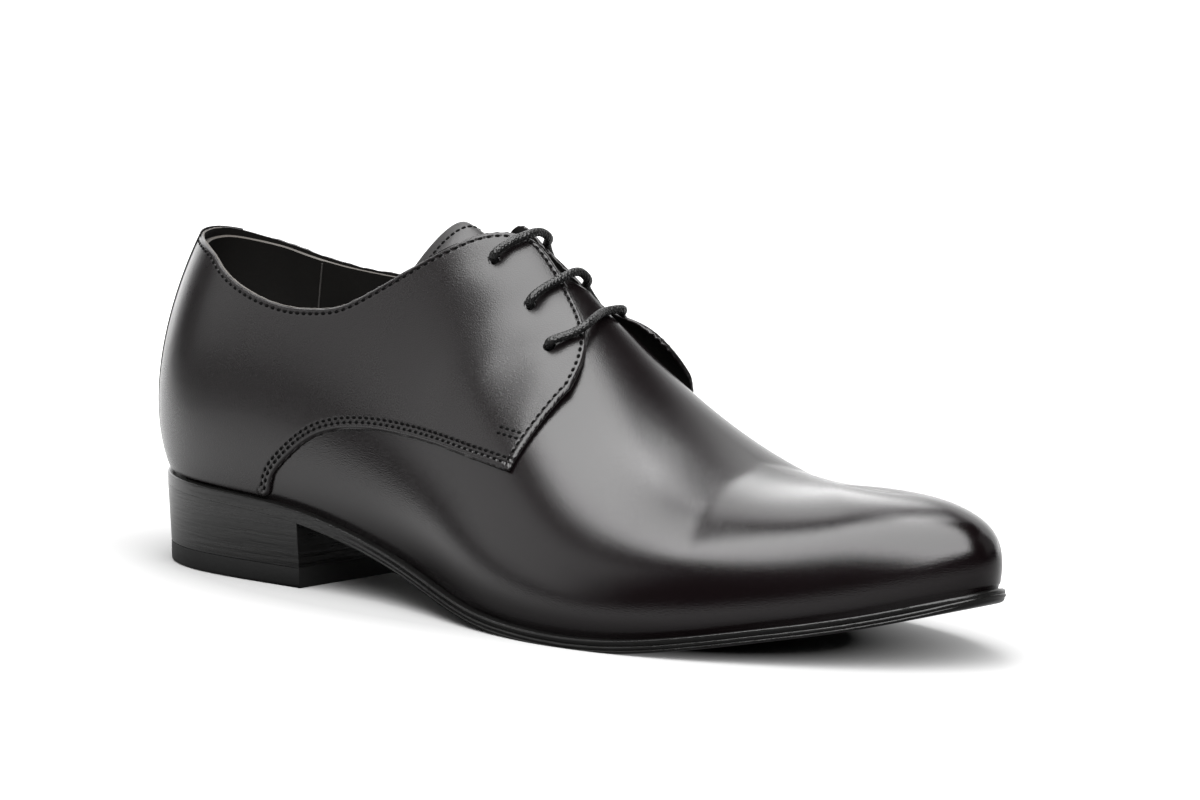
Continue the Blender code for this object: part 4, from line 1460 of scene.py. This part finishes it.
# %% [markdown]
# ## Floor, light and camera
# The photograph is a white studio: a pale floor that runs out of sight, a large soft light overhead and
# softer ones at the sides. On black leather the lights are the picture, because their reflections draw
# the form.

# %% Camera, at the photograph's angle
VIEW_AZIMUTH, VIEW_ELEVATION, VIEW_DISTANCE = math.radians(43), math.radians(8.2), 1.8
VIEW_TARGET = Vector(placed((150, 0, 45)))
FOCAL_PIXELS, PHOTO_WIDTH, SENSOR = 6556, 1200, 36.0
TARGET_PIXEL, PHOTO_CENTRE = (573, 443.5), (600, 400)
back = Vector(
    (
        math.sin(VIEW_AZIMUTH) * math.cos(VIEW_ELEVATION),
        -math.cos(VIEW_AZIMUTH) * math.cos(VIEW_ELEVATION),
        math.sin(VIEW_ELEVATION),
    )
)
right = Vector((math.cos(VIEW_AZIMUTH), math.sin(VIEW_AZIMUTH), 0))
up = Vector((0, 0, 1))
toward = Vector((back.x, back.y, 0)).normalized()
camera_data = bpy.data.cameras.new("camera")
camera_data.sensor_width = SENSOR
camera_data.lens = FOCAL_PIXELS / PHOTO_WIDTH * SENSOR
camera_data.shift_x = (PHOTO_CENTRE[0] - TARGET_PIXEL[0]) / PHOTO_WIDTH
camera_data.shift_y = (TARGET_PIXEL[1] - PHOTO_CENTRE[1]) / PHOTO_WIDTH
camera_data.clip_end = 50
camera = linked("camera", camera_data)
camera.location = VIEW_TARGET + back * VIEW_DISTANCE
camera.rotation_euler = (-back).to_track_quat("-Z", "Y").to_euler()
bpy.context.scene.camera = camera


# %% Floor
def make_floor(name, corners, height, look):
    mesh = bpy.data.meshes.new(name)
    mesh.from_pydata([(x, y, height) for x, y in corners], [], [(0, 1, 2, 3)])
    mesh.materials.append(look.material)
    sheet = linked(name, mesh)
    return sheet


def square(half_x, half_y):
    return [(-half_x, -half_y), (half_x, -half_y), (half_x, half_y), (-half_x, half_y)]


def behind(distance, sideways):
    point = right * sideways - toward * distance
    return point.x, point.y


# The oval of painted shade under the shoe, where the floors' glow is withheld: how much longer it is than
# wide, and how steeply it fades
SHADE_OVAL, FADE = 2.6, 6.0
# Light of the mirrored floor at the shoe's middle, its fall per metre towards the toe, which is painted
# shade, and its level
MIRROR_MIDDLE, MIRROR_SHADE_FALL, MIRROR_LEVEL = 0.44, 0.9, 1.9


def floor_look(name, level):
    return Look(name, Base_Color=grey(level), Roughness=0.9, Specular_IOR_Level=0.0, Emission_Strength=1.0)


def glow_clear_of_painted_shade(look, edge, step=0.0):
    """0 under the shoe, where the floors' glow gives way to painted shade, growing to 1 away from it, over
    a long oval that starts at edge, in metres.
    """
    where = look.stretched((1.0, SHADE_OVAL, 1.0), (step, 0.0, 0.0))
    away = look.node("ShaderNodeVectorMath", {"operation": "LENGTH"}, {0: where}, "Value")
    return ((away - edge) * FADE).held()


# The near floor glows white away from the shoe and not in the oval under it, which is painted shade round
# the shoe
near_look = floor_look("floor_near", 0.34)
near_look.set("Emission Color", near_look.mix(glow_clear_of_painted_shade(near_look, 0.12, 0.02), grey(0.0), grey(0.9)))
far_look = floor_look("floor_far", 0.3)
far_look.set("Emission Color", grey(1.0))
mirror_look = floor_look("floor_mirror", 0.1)
# The mirrored floor's glow is a painted reflection of the floor, dimmed by painted shade towards the toe
# and under the shoe
lit = (MIRROR_MIDDLE - mirror_look.along() * MIRROR_SHADE_FALL).held() * glow_clear_of_painted_shade(mirror_look, 0.1)
mirror_look.set("Emission Color", mirror_look.mix(lit, grey(0.0), grey(MIRROR_LEVEL)))

# The leather mirrors a glowing floor of its own, with painted shade under the shoe and towards the toe, and
# the camera sees the near one instead
near_corners = square(0.48, 0.40)
near_floor = make_floor("floor_near", near_corners, 0.0, near_look)
near_floor.visible_glossy = False
mirror_floor = make_floor("floor_mirror", near_corners, -0.0002, mirror_look)
mirror_floor.visible_camera = False
mirror_floor.visible_diffuse = False
back_corners = [behind(0.2, -0.5), behind(0.2, 0.5), behind(7, 5), behind(7, -5)]
make_floor("floor_back", back_corners, -0.0003, far_look)
far_floor = make_floor("floor_far", square(9, 9), -0.0006, far_look)
far_floor.visible_glossy = False
far_floor.visible_diffuse = False


# %% Soft lights
def direction(azimuth, elevation):
    """A way from the shoe: azimuth 0 towards the camera and growing to its right, in degrees."""
    turn, climb = math.radians(azimuth), math.radians(elevation)
    return (toward * math.cos(turn) + right * math.sin(turn)) * math.cos(climb) + up * math.sin(climb)


def softbox(name, azimuth, elevation, distance, width, height, radiance, along):
    """An area light facing the shoe, its width lying along the given way, as bright as its radiance."""
    data = bpy.data.lights.new(name, "AREA")
    data.shape = "RECTANGLE"
    data.size, data.size_y = width, height
    data.energy = radiance * math.pi * width * height
    out = direction(azimuth, elevation)
    wide = (along - out * along.dot(out)).normalized()
    lamp = linked(name, data)
    lamp.matrix_world = Matrix((wide, out.cross(wide), out)).transposed().to_4x4()
    lamp.location = VIEW_TARGET + out * distance
    lamp.visible_camera = False


# The key's width runs towards the camera, a little to its right and down
key_along = toward * 0.848 + right * 0.394 - up * 0.352
softbox("key", -5, 61, 1.3, 2.86, 1.3, 7.0, key_along)
softbox("key_back", 172, 68.5, 1.3, 0.42, 0.28, 5.0, right)
softbox("back_left", -161, 26.5, 1.6, 1.23, 1.67, 2.4, direction(109, 0))
softbox("back_right", 149, 22.5, 1.6, 1.77, 1.46, 1.35, direction(59, 0))
softbox("back_top", 180, 57, 1.6, 1.29, 0.31, 0.7, right)
softbox("left_fill", -92, 22, 1.3, 1.05, 0.84, 1.1, toward)
softbox("right_fill", 95, 25, 1.3, 0.95, 0.95, 0.3, toward)
world = bpy.data.worlds.new("studio")
world.use_nodes = True
world.node_tree.nodes["Background"].inputs["Color"].default_value = grey(1.0)
world.node_tree.nodes["Background"].inputs["Strength"].default_value = 1.0
world.cycles_visibility.glossy = False
world.cycles_visibility.diffuse = False
bpy.context.scene.world = world
bpy.context.scene.view_settings.view_transform = "Standard"
